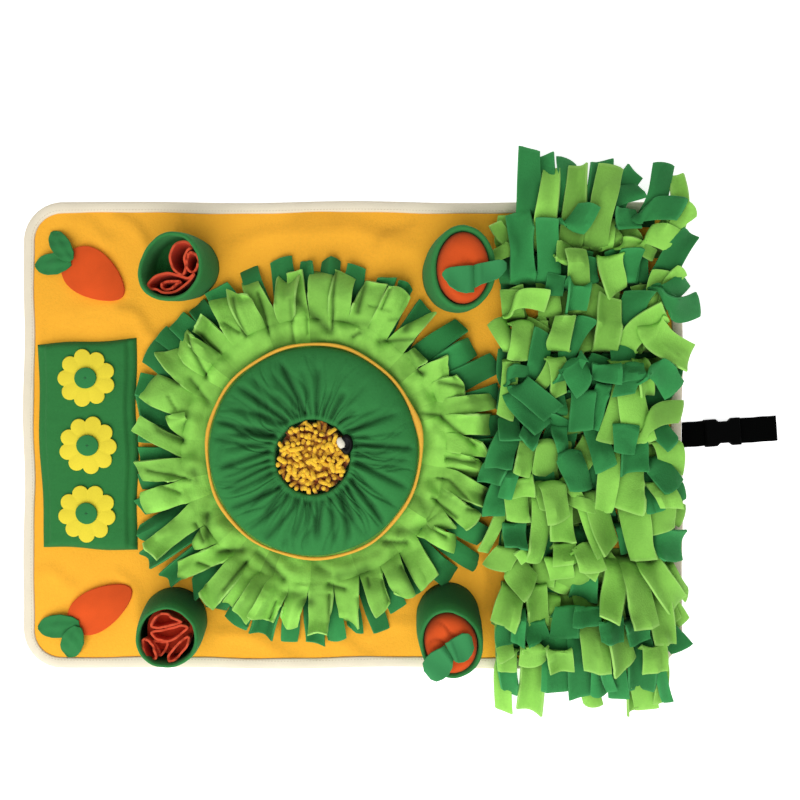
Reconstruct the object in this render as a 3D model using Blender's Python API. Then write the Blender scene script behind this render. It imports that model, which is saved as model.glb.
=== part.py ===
"""Snuffle mat: a bound fleece mat that carries a fringed flower with a drawstring puff, four pots, a flower
pocket, two flat carrots, a field of fringe bands and a closing strap.

Metres, +Z up. The origin is the middle of the mat's underside, +X runs along the mat's long side towards the
strap, and +Y is the side where the upper pots stand."""
import math
import random
from collections import namedtuple

import bmesh
import bpy
from mathutils import Matrix, Vector

GAP = 0.0003  # between two pieces that lie on each other
FLEECE = 0.0022  # thickness of one cut fleece strip
FELT = 0.0020

# The mat: a fleece panel whose edge lies in a folded tape.
MAT_LENGTH = 0.704
MAT_WIDTH = 0.498
MAT_CORNER = 0.042
EDGE_WAVE = 0.0012
CORNER_STEPS = 5
LONG_EDGE_STEPS = 10
SHORT_EDGE_STEPS = 7
TAPE = 0.0012
TAPE_WIDTH = 0.0115
TAPE_TOP = 0.0045
PANEL_TOP = TAPE_TOP - TAPE - GAP
ON_PANEL = PANEL_TOP + GAP

# The large flower.
FLOWER_X = -0.0407
FLOWER_Y = -0.0165
DARK_RING_IN = 0.1410
DARK_RING_OUT = 0.1510
DARK_RING_REACH = 0.2030
DARK_RING_STRIPS = 34
LIGHT_RING_IN = 0.1010
LIGHT_RING_OUT = 0.1340
LIGHT_RING_REACH = 0.1840
LIGHT_RING_STRIPS = 40
RING_STRIP_SHARE = 0.80  # of the pitch that a strip fills, the rest being the cut
RING_CLEARANCE = 0.0030

RING_STRIP_FLARE = 1.08
RING_UNEVEN = 0.0120  # by how much a ring's strips differ in reach
DARK_RING_RUN = ((0.35, 0.0052), (1.0, 0.0075))  # (share of the run, height of the strip's middle)
LIGHT_RING_RUN = ((0.16, 0.0090), (1.0, 0.0172))

PUFF_FOLDS = 32
PUFF_PROFILE = (  # (radius, height, depth of the gathers)
    (0.0960, 0.0033, 0.0), (0.1015, 0.0085, 0.0), (0.1075, 0.0160, 0.0), (0.1095, 0.0220, 0.0),
    (0.1050, 0.0278, 0.0002), (0.0900, 0.0335, 0.0008), (0.0700, 0.0375, 0.0016), (0.0520, 0.0385, 0.0022),
    (0.0425, 0.0365, 0.0020), (0.0385, 0.0325, 0.0008), (0.0385, 0.0200, 0.0), (0.0370, 0.0140, 0.0),
)
PIPING_RADIUS = 0.1130
PIPING_THICK = 0.0052
PIPING_HEIGHT = 0.0220
PIPING_SIDES = 6
PIPING_STEPS = 44

PILE_LOCKS = 18
PILE_LOCK_SHARE = 0.62
PILE_LUMP = 0.0016
PILE_FLOOR = PUFF_PROFILE[-1][1] + GAP
PILE_PROFILE = ((0.0310, 0.0190), (0.0310, 0.0230), (0.0240, 0.0275), (0.0120, 0.0300))  # (radius, height)
PILE_LOCK_RUN = ((0.0020, 0.0225), (0.0042, 0.0262))
PILE_LOCK_WIDTH = 0.0050
PILE_LOCK_THICK = 0.0036

LOCK_TURN = math.radians(20)  # where the cord lock stands round the puff's opening
LOCK_OUT = 0.0265
LOCK_RX = 0.0066
LOCK_RY = 0.0092
LOCK_BEVEL = 0.0018
LOCK_HEIGHTS = (0.0288, 0.0308, 0.0390, 0.0410)

# The fringe field: bands sewn across the mat's right part.
FIELD_LEFT = 0.1580
FIELD_RIGHT = 0.3360  # the hem bands end sooner, at the mat's round corners
FIELD_STRIPS = 8
BAND_DEPTH = 0.0080
STRIP_CUT = 0.0036  # gap between two strips of a band at their roots
FAN_LEFT = math.radians(-4)
FAN_RIGHT = math.radians(27)
SWING = math.radians(5)

POCKET_CORNERS = ((-0.2277, 0.1035), (-0.3340, 0.0965), (-0.3275, -0.1200), (-0.2265, -0.1230))
POCKET_STEPS = 6
POCKET_BOW = 0.0015
POCKET_TOP = 0.0140
POCKET_PINCH = 0.0018
POCKET_SHOULDER = 0.0025
STRAP_ANGLE = math.radians(4.2)
STRAP_WIDTH = 0.0270
WEBBING = 0.0016
STRAP_END = 0.1020  # from the mat's edge, as the buckle's stations are
BUCKLE_START = 0.0235
BUCKLE_END = 0.0615
BUCKLE_HALF = 0.0145
BUCKLE_WAIST = 0.0115
BUCKLE_HEAD = 0.0120
BUCKLE_HEEL = 0.0090
BUCKLE_SLOPE = 0.0035
BUCKLE_THICK = 0.0090
BUCKLE_BEVEL = 0.0015

COLOURS = {  # base colour (linear), roughness
    "orange_fleece": ((1.0, 0.42, 0.035), 0.95),
    "cream_tape": ((0.80, 0.70, 0.52), 0.85),
    "dark_fleece": ((0.022, 0.17, 0.045), 0.95),
    "light_fleece": ((0.24, 0.60, 0.085), 0.95),
    "yellow_felt": ((0.83, 0.70, 0.045), 0.95),
    "carrot_felt": ((0.72, 0.085, 0.012), 0.95),
    "red_felt": ((0.42, 0.030, 0.010), 0.95),
    "yellow_chenille": ((0.90, 0.47, 0.045), 0.95),
    "black_webbing": ((0.006, 0.007, 0.008), 0.8),
    "black_plastic": ((0.005, 0.006, 0.007), 0.4),
}

Pot = namedtuple("Pot", "name x y base_rx base_ry lean_x lean_y rim_rx rim_ry wall height corner")
POTS = (
    Pot("upper_left", -0.1778, 0.1787, 0.0350, 0.0340, -0.0050, -0.0050, 0.0323, 0.0353, 0.0045, 0.0640, 225),
    Pot("lower_left", -0.1905, -0.1973, 0.0350, 0.0350, 0.0050, -0.0040, 0.0308, 0.0300, 0.0040, 0.0620, 300),
    Pot("upper_right", 0.1059, 0.1712, 0.0350, 0.0400, 0.0035, 0.0000, 0.0338, 0.0430, 0.0062, 0.0620, 0),
    Pot("lower_right", 0.1016, -0.1942, 0.0340, 0.0370, -0.0010, -0.0090, 0.0335, 0.0365, 0.0052, 0.0620, 0),
)
POT_SIDES = 20
CORNER_SWELL = 0.10  # how far a soft rim is pulled out at its corner, as a share of its radius
CORNER_SPREAD = 0.45

Band = namedtuple("Band", "y right facing form colour")
BANDS = (
    Band(0.2260, 0.3220, 1, "hem", "dark_fleece"),
    Band(0.1930, 0.3360, 1, "shingle", "light_fleece"),
    Band(0.1570, 0.3360, 1, "shingle", "dark_fleece"),
    Band(0.1210, 0.3360, 1, "shingle", "light_fleece"),
    Band(0.0850, 0.3360, 1, "shingle", "light_fleece"),
    Band(0.0490, 0.3360, 1, "shingle", "dark_fleece"),
    Band(0.0160, 0.3360, 1, "steep", "dark_fleece"),
    Band(-0.0020, 0.3360, 1, "upright", "light_fleece"),
    Band(-0.0200, 0.3360, -1, "steep", "dark_fleece"),
    Band(-0.0530, 0.3360, -1, "shingle", "light_fleece"),
    Band(-0.0890, 0.3360, -1, "shingle", "dark_fleece"),
    Band(-0.1250, 0.3360, -1, "shingle", "light_fleece"),
    Band(-0.1610, 0.3360, -1, "shingle", "light_fleece"),
    Band(-0.1950, 0.3360, -1, "shingle", "dark_fleece"),
    Band(-0.2260, 0.3220, -1, "hem", "light_fleece"),
)

# How the middle of a strip runs, as rows of (forward, height) from the face of its band.
Rise = namedtuple("Rise", "run height easing")
LOW_STRIP = Rise(0.0530, 0.0270, 0.0400)
HIGH_STRIP = Rise(0.0600, 0.0390, 0.0400)
STEEP_LOW = Rise(0.0300, 0.0400, 0.0180)
STEEP_HIGH = Rise(0.0330, 0.0470, 0.0170)
HEM_ROUTE = ((0.0050, 0.0072), (0.0190, 0.0076), (0.0380, 0.0024), (0.0660, 0.0011))
UPRIGHT_FORWARD = ((0.0030, 0.0140), (0.0070, 0.0300), (0.0180, 0.0420), (0.0290, 0.0450))
UPRIGHT_BACK = ((0.0030, 0.0140), (0.0010, 0.0300), (-0.0100, 0.0420), (-0.0230, 0.0450))
RISE_STEPS = 3

Flower = namedtuple("Flower", "x y turn")
FLOWERS = (
    Flower(-0.2817, 0.0607, 0.0),
    Flower(-0.2796, -0.0105, 0.30),
    Flower(-0.2806, -0.0822, 0.15),
)
FLOWER_RADIUS = 0.0300
PETALS = 9
PETAL_DEPTH = 0.0035
PETAL_POINTS = 5
DISC_RADIUS = 0.0110

Carrot = namedtuple("Carrot", "name x y length width heading")
FLAT_CARROTS = (
    Carrot("upper", -0.2755, 0.1696, 0.0740, 0.0490, -35),
    Carrot("lower", -0.2686, -0.1835, 0.0760, 0.0430, 32),
)
CARROT_FELT = 0.0030
EGG_POINTS = 22

Leaf = namedtuple("Leaf", "name base_x base_y tip_x tip_y width lie")
LEAVES = (
    Leaf("carrot_leaf_upper_side", -0.2995, 0.1840, -0.3390, 0.1805, 0.0230, "under"),
    Leaf("carrot_leaf_upper_top", -0.2985, 0.1850, -0.3210, 0.2170, 0.0210, "over"),
    Leaf("carrot_leaf_lower_side", -0.2905, -0.2010, -0.3360, -0.2055, 0.0250, "under"),
    Leaf("carrot_leaf_lower_bottom", -0.2910, -0.2030, -0.3040, -0.2365, 0.0240, "over"),
    Leaf("pot_leaf_upper_right_inner", 0.1200, 0.1640, 0.0935, 0.1650, 0.0250, "pot"),
    Leaf("pot_leaf_upper_right_outer", 0.1210, 0.1645, 0.1560, 0.1700, 0.0250, "pot"),
    Leaf("pot_leaf_lower_right_inner", 0.1015, -0.2065, 0.1200, -0.1980, 0.0260, "pot"),
    Leaf("pot_leaf_lower_right_outer", 0.0980, -0.2120, 0.0830, -0.2450, 0.0280, "pot"),
)
STUFFED_TOP = 0.0690
LEAF_WIDTHS = (0.30, 0.72, 1.0, 0.95, 0.60, 0.22)  # at each of LEAF_SHARES
LEAF_SHARES = (0.0, 0.15, 0.40, 0.68, 0.90, 1.0)
LEAF_LIES = {  # underside at each of LEAF_SHARES
    "under": (0.0066, 0.0067, 0.0066, 0.0036, 0.0033, 0.0033),
    "over": (0.0091, 0.0093, 0.0094, 0.0070, 0.0036, 0.0033),
    "pot": (0.0693, 0.0698, 0.0706, 0.0704, 0.0698, 0.0693),
}
STUFFED_SIDES = 16
STUFFED_SHAPE = (  # (share of height, share of the pot's inner radius)
    (0.0, 0.30), (0.10, 0.55), (0.40, 0.76), (0.68, 0.93),
    (0.84, 0.96), (0.93, 0.84), (0.98, 0.55), (1.0, 0.20),
)

# A felt strip's route, seen from above, in each left pot, from the pot's rim centre.
ROLL_TOP = 0.0480
ROLL_UPPER_LEFT = (
    (0.0130, 0.0030), (0.0190, 0.0090), (0.0135, 0.0165), (0.0050, 0.0210), (-0.0060, 0.0190),
    (-0.0105, 0.0080), (-0.0080, -0.0030), (0.0020, -0.0070), (-0.0080, -0.0105), (-0.0165, -0.0115),
    (-0.0175, -0.0165), (-0.0090, -0.0205), (0.0020, -0.0190), (0.0105, -0.0125),
)
ROLL_LOWER_LEFT = (
    (0.0080, 0.0110), (-0.0010, 0.0180), (-0.0120, 0.0140), (-0.0150, 0.0060), (-0.0060, 0.0035),
    (0.0060, 0.0030), (0.0150, 0.0060), (0.0180, -0.0010), (0.0090, -0.0045), (-0.0040, -0.0050),
    (-0.0160, -0.0060), (-0.0170, -0.0130), (-0.0080, -0.0180), (0.0040, -0.0190), (0.0130, -0.0150),
)
ROUTE_STEPS = 2

chance = random.Random(11)


def clear_scene():
    for item in list(bpy.data.objects):
        bpy.data.objects.remove(item, do_unlink=True)


def make_material(name):
    colour, roughness = COLOURS[name]
    material = bpy.data.materials.new(name)
    material.use_nodes = True
    shader = material.node_tree.nodes["Principled BSDF"]
    shader.inputs["Base Color"].default_value = (*colour, 1.0)
    shader.inputs["Roughness"].default_value = roughness
    shader.inputs["Metallic"].default_value = 0.0
    material.diffuse_color = (*colour, 1.0)
    return material


def add_piece(name, bm, material):
    bmesh.ops.recalc_face_normals(bm, faces=bm.faces)
    mesh = bpy.data.meshes.new(name)
    bm.to_mesh(mesh)
    bm.free()
    mesh.materials.append(material)
    piece = bpy.data.objects.new(name, mesh)
    bpy.context.scene.collection.objects.link(piece)
    return piece


def draw_strip(bm, root, sections):
    """Carry the four corners of a root face along sections, and return the face that ends the strip."""
    last = root
    for section in sections:
        ring = [bm.verts.new(point) for point in section]
        for corner in range(4):
            after = (corner + 1) % 4
            bm.faces.new((last[corner], last[after], ring[after], ring[corner]))
        last = ring
    return last


def skin(loops, wrap=False, strips=None, band=0):
    """One closed body through loops of points. Strips grow from faces of the band between two loops."""
    bm = bmesh.new()
    rings = [[bm.verts.new(point) for point in loop] for loop in loops]
    strips = strips or {}
    count = len(rings) if wrap else len(rings) - 1
    around = len(loops[0])
    for index in range(count):
        lower = rings[index]
        upper = rings[(index + 1) % len(rings)]
        for side in range(around):
            after = (side + 1) % around
            face = (lower[side], lower[after], upper[after], upper[side])
            if index == band and side in strips:
                face = draw_strip(bm, face, strips[side])
            bm.faces.new(face)
    if not wrap:
        bm.faces.new(reversed(rings[0]))
        bm.faces.new(rings[-1])
    return bm


def at_height(outline, z):
    return [(x, y, z) for x, y in outline]


def inset(outline, distance):
    """An outline drawn in by distance along the mean of its sides' normals."""
    moved = []
    count = len(outline)
    for index, (x, y) in enumerate(outline):
        before = Vector(outline[index - 1])
        here = Vector((x, y))
        after = Vector(outline[(index + 1) % count])
        one = (here - before).normalized()
        two = (after - here).normalized()
        inward = (Vector((-one.y, one.x)) + Vector((-two.y, two.x))).normalized()
        lean = max(0.5, inward.dot(Vector((-one.y, one.x))))
        place = here + inward * distance / lean
        moved.append((place.x, place.y))
    return moved


def ellipse(x, y, rx, ry, count, corner=None):
    """An oval, pulled out at the corner angle where one is given, in degrees."""
    points = []
    for step in range(count):
        angle = 2 * math.pi * step / count
        swell = 1.0
        if corner is not None:
            off = math.remainder(angle - math.radians(corner), 2 * math.pi)
            swell += CORNER_SWELL * math.exp(-((off / CORNER_SPREAD) ** 2))
        points.append((x + rx * swell * math.cos(angle), y + ry * swell * math.sin(angle)))
    return points


def strip_sections(root, heading, route, width, thickness):
    """Four corners at each stop of a strip's route, which is (forward, height) from the root's middle."""
    corners = [Vector(point) for point in root]
    middle = sum(corners, Vector()) / 4
    across = (corners[1] - corners[0]).normalized()
    forward = Vector((math.cos(heading), math.sin(heading), 0.0))
    side = Vector((forward.y, -forward.x, 0.0))
    if side.dot(across) < 0:
        side = -side
    stops = [(0.0, middle.z), *route]
    sections = []
    for index in range(1, len(stops)):
        after = stops[min(index + 1, len(stops) - 1)]
        before = stops[index - 1]
        run = after[0] - before[0]
        rise = after[1] - before[1]
        size = math.hypot(run, rise)
        normal = forward * (-rise / size) + Vector((0.0, 0.0, run / size))
        centre = Vector((middle.x, middle.y, stops[index][1])) + forward * stops[index][0]
        reach = side * width / 2
        lift = normal * thickness / 2
        low = centre - lift
        high = centre + lift
        sections.append((low - reach, low + reach, high + reach, high - reach))
    return sections


# ---------------------------------------------------------------- mat panel and binding
def mat_outline(out, z):
    """The mat's rounded rectangle, grown by out, with the slow wave of a sewn edge along its sides."""
    points = []
    half_x = MAT_LENGTH / 2 - MAT_CORNER
    half_y = MAT_WIDTH / 2 - MAT_CORNER
    middles = ((half_x, half_y), (-half_x, half_y), (-half_x, -half_y), (half_x, -half_y))
    for corner, (mid_x, mid_y) in enumerate(middles):
        for step in range(CORNER_STEPS + 1):
            angle = (corner + step / CORNER_STEPS) * math.pi / 2
            radius = MAT_CORNER + out
            points.append((mid_x + radius * math.cos(angle), mid_y + radius * math.sin(angle), z))
        steps = LONG_EDGE_STEPS if corner % 2 == 0 else SHORT_EDGE_STEPS
        next_x, next_y = middles[(corner + 1) % 4]
        outward = Vector((math.cos((corner + 1) * math.pi / 2), math.sin((corner + 1) * math.pi / 2)))
        for step in range(1, steps):
            share = step / steps
            wave = EDGE_WAVE * math.sin(math.pi * share) * math.sin(5 * math.pi * share + corner)
            place = Vector((mid_x + (next_x - mid_x) * share, mid_y + (next_y - mid_y) * share))
            place += outward * (MAT_CORNER + out + wave)
            points.append((place.x, place.y, z))
    return points


def build_mat(materials):
    rebate = -(TAPE_WIDTH + GAP)
    edge = -(TAPE + GAP)
    loops = [
        mat_outline(rebate, 0.0),
        mat_outline(rebate, TAPE + GAP),
        mat_outline(edge, TAPE + GAP),
        mat_outline(edge, PANEL_TOP),
    ]
    add_piece("mat_panel", skin(loops), materials["orange_fleece"])

    section = (  # (outwards, height) round the folded tape
        (0.0, 0.0), (0.0, TAPE_TOP), (-TAPE_WIDTH, TAPE_TOP), (-TAPE_WIDTH, TAPE_TOP - TAPE),
        (-TAPE, TAPE_TOP - TAPE), (-TAPE, TAPE), (-TAPE_WIDTH, TAPE), (-TAPE_WIDTH, 0.0),
    )
    loops = [mat_outline(out, z) for out, z in section]
    add_piece("edge_binding", skin(loops, wrap=True), materials["cream_tape"])


# ---------------------------------------------------------------- flower pocket
def pocket_outline():
    points = []
    for index, (x, y) in enumerate(POCKET_CORNERS):
        next_x, next_y = POCKET_CORNERS[(index + 1) % 4]
        normal = Vector((next_y - y, x - next_x)).normalized()
        for step in range(POCKET_STEPS):
            share = step / POCKET_STEPS
            bow = POCKET_BOW * math.sin(2 * math.pi * share + index) * math.sin(math.pi * share)
            place = Vector((x, y)).lerp(Vector((next_x, next_y)), share) + normal * bow
            points.append((place.x, place.y))
    return points


def build_pocket(materials):
    outline = pocket_outline()
    loops = [
        at_height(outline, ON_PANEL),
        at_height(inset(outline, POCKET_PINCH), (ON_PANEL + POCKET_TOP) / 2),
        at_height(outline, POCKET_TOP - POCKET_SHOULDER),
        at_height(inset(outline, POCKET_SHOULDER), POCKET_TOP),
    ]
    add_piece("flower_pocket", skin(loops), materials["dark_fleece"])
    for number, flower in enumerate(FLOWERS, 1):
        count = PETALS * PETAL_POINTS
        petals = []
        for step in range(count):
            angle = flower.turn + 2 * math.pi * step / count
            lobe = abs(math.sin(math.pi * step / PETAL_POINTS)) ** 0.7
            radius = FLOWER_RADIUS - PETAL_DEPTH * (1 - lobe)
            petals.append((flower.x + radius * math.cos(angle), flower.y + radius * math.sin(angle)))
        low = POCKET_TOP + GAP
        high = low + FELT
        bm = skin([at_height(petals, low), at_height(petals, high)])
        add_piece(f"felt_flower_{number}", bm, materials["yellow_felt"])
        disc = ellipse(flower.x, flower.y, DISC_RADIUS, DISC_RADIUS, 16)
        bm = skin([at_height(disc, high + GAP), at_height(disc, high + GAP + FELT)])
        add_piece(f"flower_centre_{number}", bm, materials["dark_fleece"])


# ---------------------------------------------------------------- flat carrots and leaves
def egg(carrot):
    """A carrot's outline: round at its crown, drawn to a blunt tip along its heading."""
    heading = math.radians(carrot.heading)
    points = []
    for step in range(EGG_POINTS):
        angle = 2 * math.pi * step / EGG_POINTS
        along = carrot.length / 2 * math.cos(angle)
        across = carrot.width / 2 * math.sin(angle) * (1 - 0.28 * math.cos(angle))
        x = carrot.x + along * math.cos(heading) - across * math.sin(heading)
        y = carrot.y + along * math.sin(heading) + across * math.cos(heading)
        points.append((x, y))
    return points


def leaf_solid(leaf):
    """A felt leaf, pinched where it is sewn, that lies over what is under it."""
    base = Vector((leaf.base_x, leaf.base_y))
    tip = Vector((leaf.tip_x, leaf.tip_y))
    along = tip - base
    side = Vector((-along.y, along.x)).normalized()
    loops = []
    for share, width, low in zip(LEAF_SHARES, LEAF_WIDTHS, LEAF_LIES[leaf.lie]):
        middle = base + along * share
        left = middle + side * leaf.width * width / 2
        right = middle - side * leaf.width * width / 2
        high = low + FELT
        loops.append([(*left, low), (*right, low), (*right, high), (*left, high)])
    return skin(loops)


def build_carrots_and_leaves(materials):
    for carrot in FLAT_CARROTS:
        outline = egg(carrot)
        loops = [
            at_height(outline, ON_PANEL),
            at_height(outline, ON_PANEL + CARROT_FELT * 0.6),
            at_height(inset(outline, 0.0015), ON_PANEL + CARROT_FELT),
        ]
        add_piece(f"flat_carrot_{carrot.name}", skin(loops), materials["carrot_felt"])
    for leaf in LEAVES:
        add_piece(leaf.name, leaf_solid(leaf), materials["dark_fleece"])


# ---------------------------------------------------------------- pots and what stands in them
def pot_oval(pot, share, shrink):
    """A pot's oval at a share of its height, drawn in by shrink."""
    x = pot.x + pot.lean_x * share
    y = pot.y + pot.lean_y * share
    rx = pot.base_rx + (pot.rim_rx - pot.base_rx) * share - shrink
    ry = pot.base_ry + (pot.rim_ry - pot.base_ry) * share - shrink
    corner = pot.corner if share > 0.5 and pot.corner else None
    return ellipse(x, y, rx, ry, POT_SIDES, corner)


def build_pots(materials):
    floor = ON_PANEL + FLEECE
    for pot in POTS:
        top = pot.height
        span = top - ON_PANEL
        loops = [
            at_height(pot_oval(pot, 0.0, 0.0), ON_PANEL),
            at_height(pot_oval(pot, 0.55, -0.0012), ON_PANEL + 0.55 * span),
            at_height(pot_oval(pot, 0.96, 0.0), ON_PANEL + 0.96 * span),
            at_height(pot_oval(pot, 1.0, pot.wall * 0.45), top),
            at_height(pot_oval(pot, 0.95, pot.wall), ON_PANEL + 0.95 * span),
            at_height(pot_oval(pot, 0.55, pot.wall - 0.0006), ON_PANEL + 0.55 * span),
            at_height(pot_oval(pot, 0.04, pot.wall), floor),
        ]
        add_piece(f"pot_{pot.name}", skin(loops), materials["dark_fleece"])

    for pot in POTS[2:]:
        low = floor + GAP
        loops = []
        for share, width in STUFFED_SHAPE:
            z = low + (STUFFED_TOP - low) * share
            lean = min(1.0, z / pot.height)
            rx = (pot.base_rx + (pot.rim_rx - pot.base_rx) * lean - pot.wall) * width
            ry = (pot.base_ry + (pot.rim_ry - pot.base_ry) * lean - pot.wall) * width
            oval = ellipse(pot.x + pot.lean_x * lean, pot.y + pot.lean_y * lean, rx, ry, STUFFED_SIDES)
            loops.append(at_height(oval, z))
        add_piece(f"stuffed_carrot_{pot.name}", skin(loops), materials["carrot_felt"])

    for pot, route in zip(POTS[:2], (ROLL_UPPER_LEFT, ROLL_LOWER_LEFT)):
        centre = (pot.x + pot.lean_x * 0.4, pot.y + pot.lean_y * 0.4)
        outline = ribbon_outline(route, centre, FELT)
        bm = skin([at_height(outline, floor + GAP), at_height(outline, ROLL_TOP)])
        add_piece(f"felt_roll_{pot.name}", bm, materials["red_felt"])


def smooth_route(route):
    """Points on a Catmull-Rom curve through the route."""
    points = [Vector(point) for point in route]
    padded = [points[0] * 2 - points[1], *points, points[-1] * 2 - points[-2]]
    smooth = []
    for index in range(1, len(padded) - 2):
        p0, p1, p2, p3 = padded[index - 1:index + 3]
        for step in range(ROUTE_STEPS):
            t = step / ROUTE_STEPS
            part = (p1 * 2 + (p2 - p0) * t + (p0 * 2 - p1 * 5 + p2 * 4 - p3) * t ** 2)
            part += (p1 * 3 - p0 - p2 * 3 + p3) * t ** 3
            smooth.append(part / 2)
    smooth.append(points[-1])
    return smooth


def ribbon_outline(route, centre, thickness):
    """Both faces of a felt strip that stands on its edge along a route."""
    smooth = smooth_route(route)
    left = []
    right = []
    for index, here in enumerate(smooth):
        before = smooth[max(index - 1, 0)]
        after = smooth[min(index + 1, len(smooth) - 1)]
        along = (after - before).normalized()
        normal = Vector((-along.y, along.x)) * thickness / 2
        left.append((centre[0] + here.x + normal.x, centre[1] + here.y + normal.y))
        right.append((centre[0] + here.x - normal.x, centre[1] + here.y - normal.y))
    return right + left[::-1]


# ---------------------------------------------------------------- fringe rings of the large flower
def clear_reach(angle, wanted):
    """How far a strip may run from the flower's middle before it meets the pocket, a pot or the field."""
    across = math.cos(angle)
    reach = wanted
    pocket_right = POCKET_CORNERS[3][0]
    if across < -0.3:
        reach = min(reach, (pocket_right - FLOWER_X) / across - RING_CLEARANCE)
    if across > 0.3:
        reach = min(reach, (FIELD_LEFT - FLOWER_X) / across - RING_CLEARANCE * 2)
    for pot in POTS:
        away = Vector((pot.x - FLOWER_X, pot.y - FLOWER_Y))
        radius = max(pot.base_rx, pot.base_ry) + 3 * RING_CLEARANCE
        ray = Vector((math.cos(angle), math.sin(angle)))
        side = abs(ray.x * away.y - ray.y * away.x)
        if side < radius and away.dot(ray) > 0:
            reach = min(reach, away.dot(ray) - math.sqrt(radius ** 2 - side ** 2))
    return reach


def circle_loop(radius, z, angles):
    return [(FLOWER_X + radius * math.cos(a), FLOWER_Y + radius * math.sin(a), z) for a in angles]


def build_ring(name, inner, outer, reach, strips, heights, slack, material):
    """A cloth ring whose outer edge is cut into strips. heights are (share of the run, height)."""
    pitch = 2 * math.pi / strips
    angles = []
    for number in range(strips):
        start = number * pitch
        angles.append(start)
        angles.append(start + pitch * RING_STRIP_SHARE)
    low = ON_PANEL
    high = ON_PANEL + FLEECE
    loops = [
        circle_loop(outer, low, angles),
        circle_loop(outer, high, angles),
        circle_loop(inner, high, angles),
        circle_loop(inner, low, angles),
    ]
    grown = {}
    for number in range(strips):
        side = 2 * number
        root = (loops[0][side], loops[0][side + 1], loops[1][side + 1], loops[1][side])
        middle = (angles[side] + angles[side + 1]) / 2
        heading = middle + chance.uniform(-slack, slack)
        run = clear_reach(middle, reach - chance.uniform(0.0, RING_UNEVEN)) - outer
        width = outer * pitch * RING_STRIP_SHARE * chance.uniform(1.0, RING_STRIP_FLARE)
        route = [(run * share, z) for share, z in heights]
        grown[side] = strip_sections(root, heading, route, width, FLEECE)
    add_piece(name, skin(loops, wrap=True, strips=grown), material)


# ---------------------------------------------------------------- puff, piping, pile and cord lock
def build_puff(materials):
    """A stuffed ring of cloth, gathered over its crown into a well."""
    around = PUFF_FOLDS * 2
    turns = [chance.uniform(-0.12, 0.12) for _ in range(around)]
    depths = [chance.uniform(0.6, 1.0) for _ in range(around)]
    loops = []
    for radius, z, gather in PUFF_PROFILE:
        loop = []
        for step in range(around):
            angle = 2 * math.pi * (step + turns[step]) / around
            fold = gather * depths[step] * (1 if step % 2 else -1)
            loop.append((FLOWER_X + radius * math.cos(angle), FLOWER_Y + radius * math.sin(angle), z + fold))
        loops.append(loop)
    add_piece("puff", skin(loops), materials["dark_fleece"])


def build_piping(materials):
    bm = bmesh.new()
    section = bmesh.ops.create_circle(bm, segments=PIPING_SIDES, radius=PIPING_THICK / 2)["verts"]
    upright = Matrix.Rotation(math.pi / 2, 3, "X")
    bmesh.ops.rotate(bm, verts=section, cent=(0, 0, 0), matrix=upright)
    bmesh.ops.translate(bm, verts=section, vec=(PIPING_RADIUS, 0, PIPING_HEIGHT))
    bmesh.ops.spin(
        bm, geom=bm.verts[:] + bm.edges[:], cent=(0, 0, 0), axis=(0, 0, 1), angle=2 * math.pi,
        steps=PIPING_STEPS, use_merge=True,
    )
    bmesh.ops.translate(bm, verts=bm.verts[:], vec=(FLOWER_X, FLOWER_Y, 0))
    add_piece("puff_piping", bm, materials["orange_fleece"])


def build_pile(materials):
    """The chenille filling: a lumpy slab in the puff's well, with locks that stand out at its rim."""
    pitch = 2 * math.pi / PILE_LOCKS
    angles = []
    for number in range(PILE_LOCKS):
        angles.append(number * pitch)
        angles.append((number + PILE_LOCK_SHARE) * pitch)
    lumps = [chance.uniform(-PILE_LUMP, PILE_LUMP) for _ in angles]
    loops = [circle_loop(PILE_PROFILE[0][0], PILE_FLOOR, angles)]
    for stop, (radius, z) in enumerate(PILE_PROFILE):
        loop = circle_loop(radius, z, angles)
        if stop > 1:
            loop = [(x, y, high + lump) for (x, y, high), lump in zip(loop, lumps)]
        loops.append(loop)
    grown = {}
    for number in range(PILE_LOCKS):
        side = 2 * number
        root = (loops[1][side], loops[1][side + 1], loops[2][side + 1], loops[2][side])
        heading = (angles[side] + angles[side + 1]) / 2
        grown[side] = strip_sections(root, heading, PILE_LOCK_RUN, PILE_LOCK_WIDTH, PILE_LOCK_THICK)
    add_piece("puff_filling", skin(loops, strips=grown, band=1), materials["yellow_chenille"])


def build_cord_lock(materials):
    x = FLOWER_X + LOCK_OUT * math.cos(LOCK_TURN)
    y = FLOWER_Y + LOCK_OUT * math.sin(LOCK_TURN)
    oval = ellipse(x, y, LOCK_RX, LOCK_RY, 14)
    drawn = inset(oval, LOCK_BEVEL)
    loops = [at_height(outline, z) for outline, z in zip((drawn, oval, oval, drawn), LOCK_HEIGHTS)]
    add_piece("cord_lock", skin(loops), materials["black_plastic"])


# ---------------------------------------------------------------- fringe field
def band_outline(band):
    """A band's outline, anticlockwise, whose front face is split into strips and the cuts between them."""
    pitch = (band.right - FIELD_LEFT) / FIELD_STRIPS
    half = BAND_DEPTH / 2
    stops = [FIELD_LEFT]
    for number in range(FIELD_STRIPS):
        stops.append(FIELD_LEFT + number * pitch + STRIP_CUT / 2)
        stops.append(FIELD_LEFT + (number + 1) * pitch - STRIP_CUT / 2)
    stops.append(band.right)
    front = band.y + half * band.facing
    back = band.y - half * band.facing
    if band.facing > 0:
        stops.reverse()
    outline = [(x, front) for x in stops]
    outline.append((stops[-1], back))
    outline.append((stops[0], back))
    return outline


def rise_route(rise):
    stops = []
    start = ON_PANEL + FLEECE / 2
    for step in range(1, RISE_STEPS + 1):
        run = rise.run * (step / RISE_STEPS) ** 1.2
        stops.append((run, start + rise.height * (1 - math.exp(-run / rise.easing))))
    return stops


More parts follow.
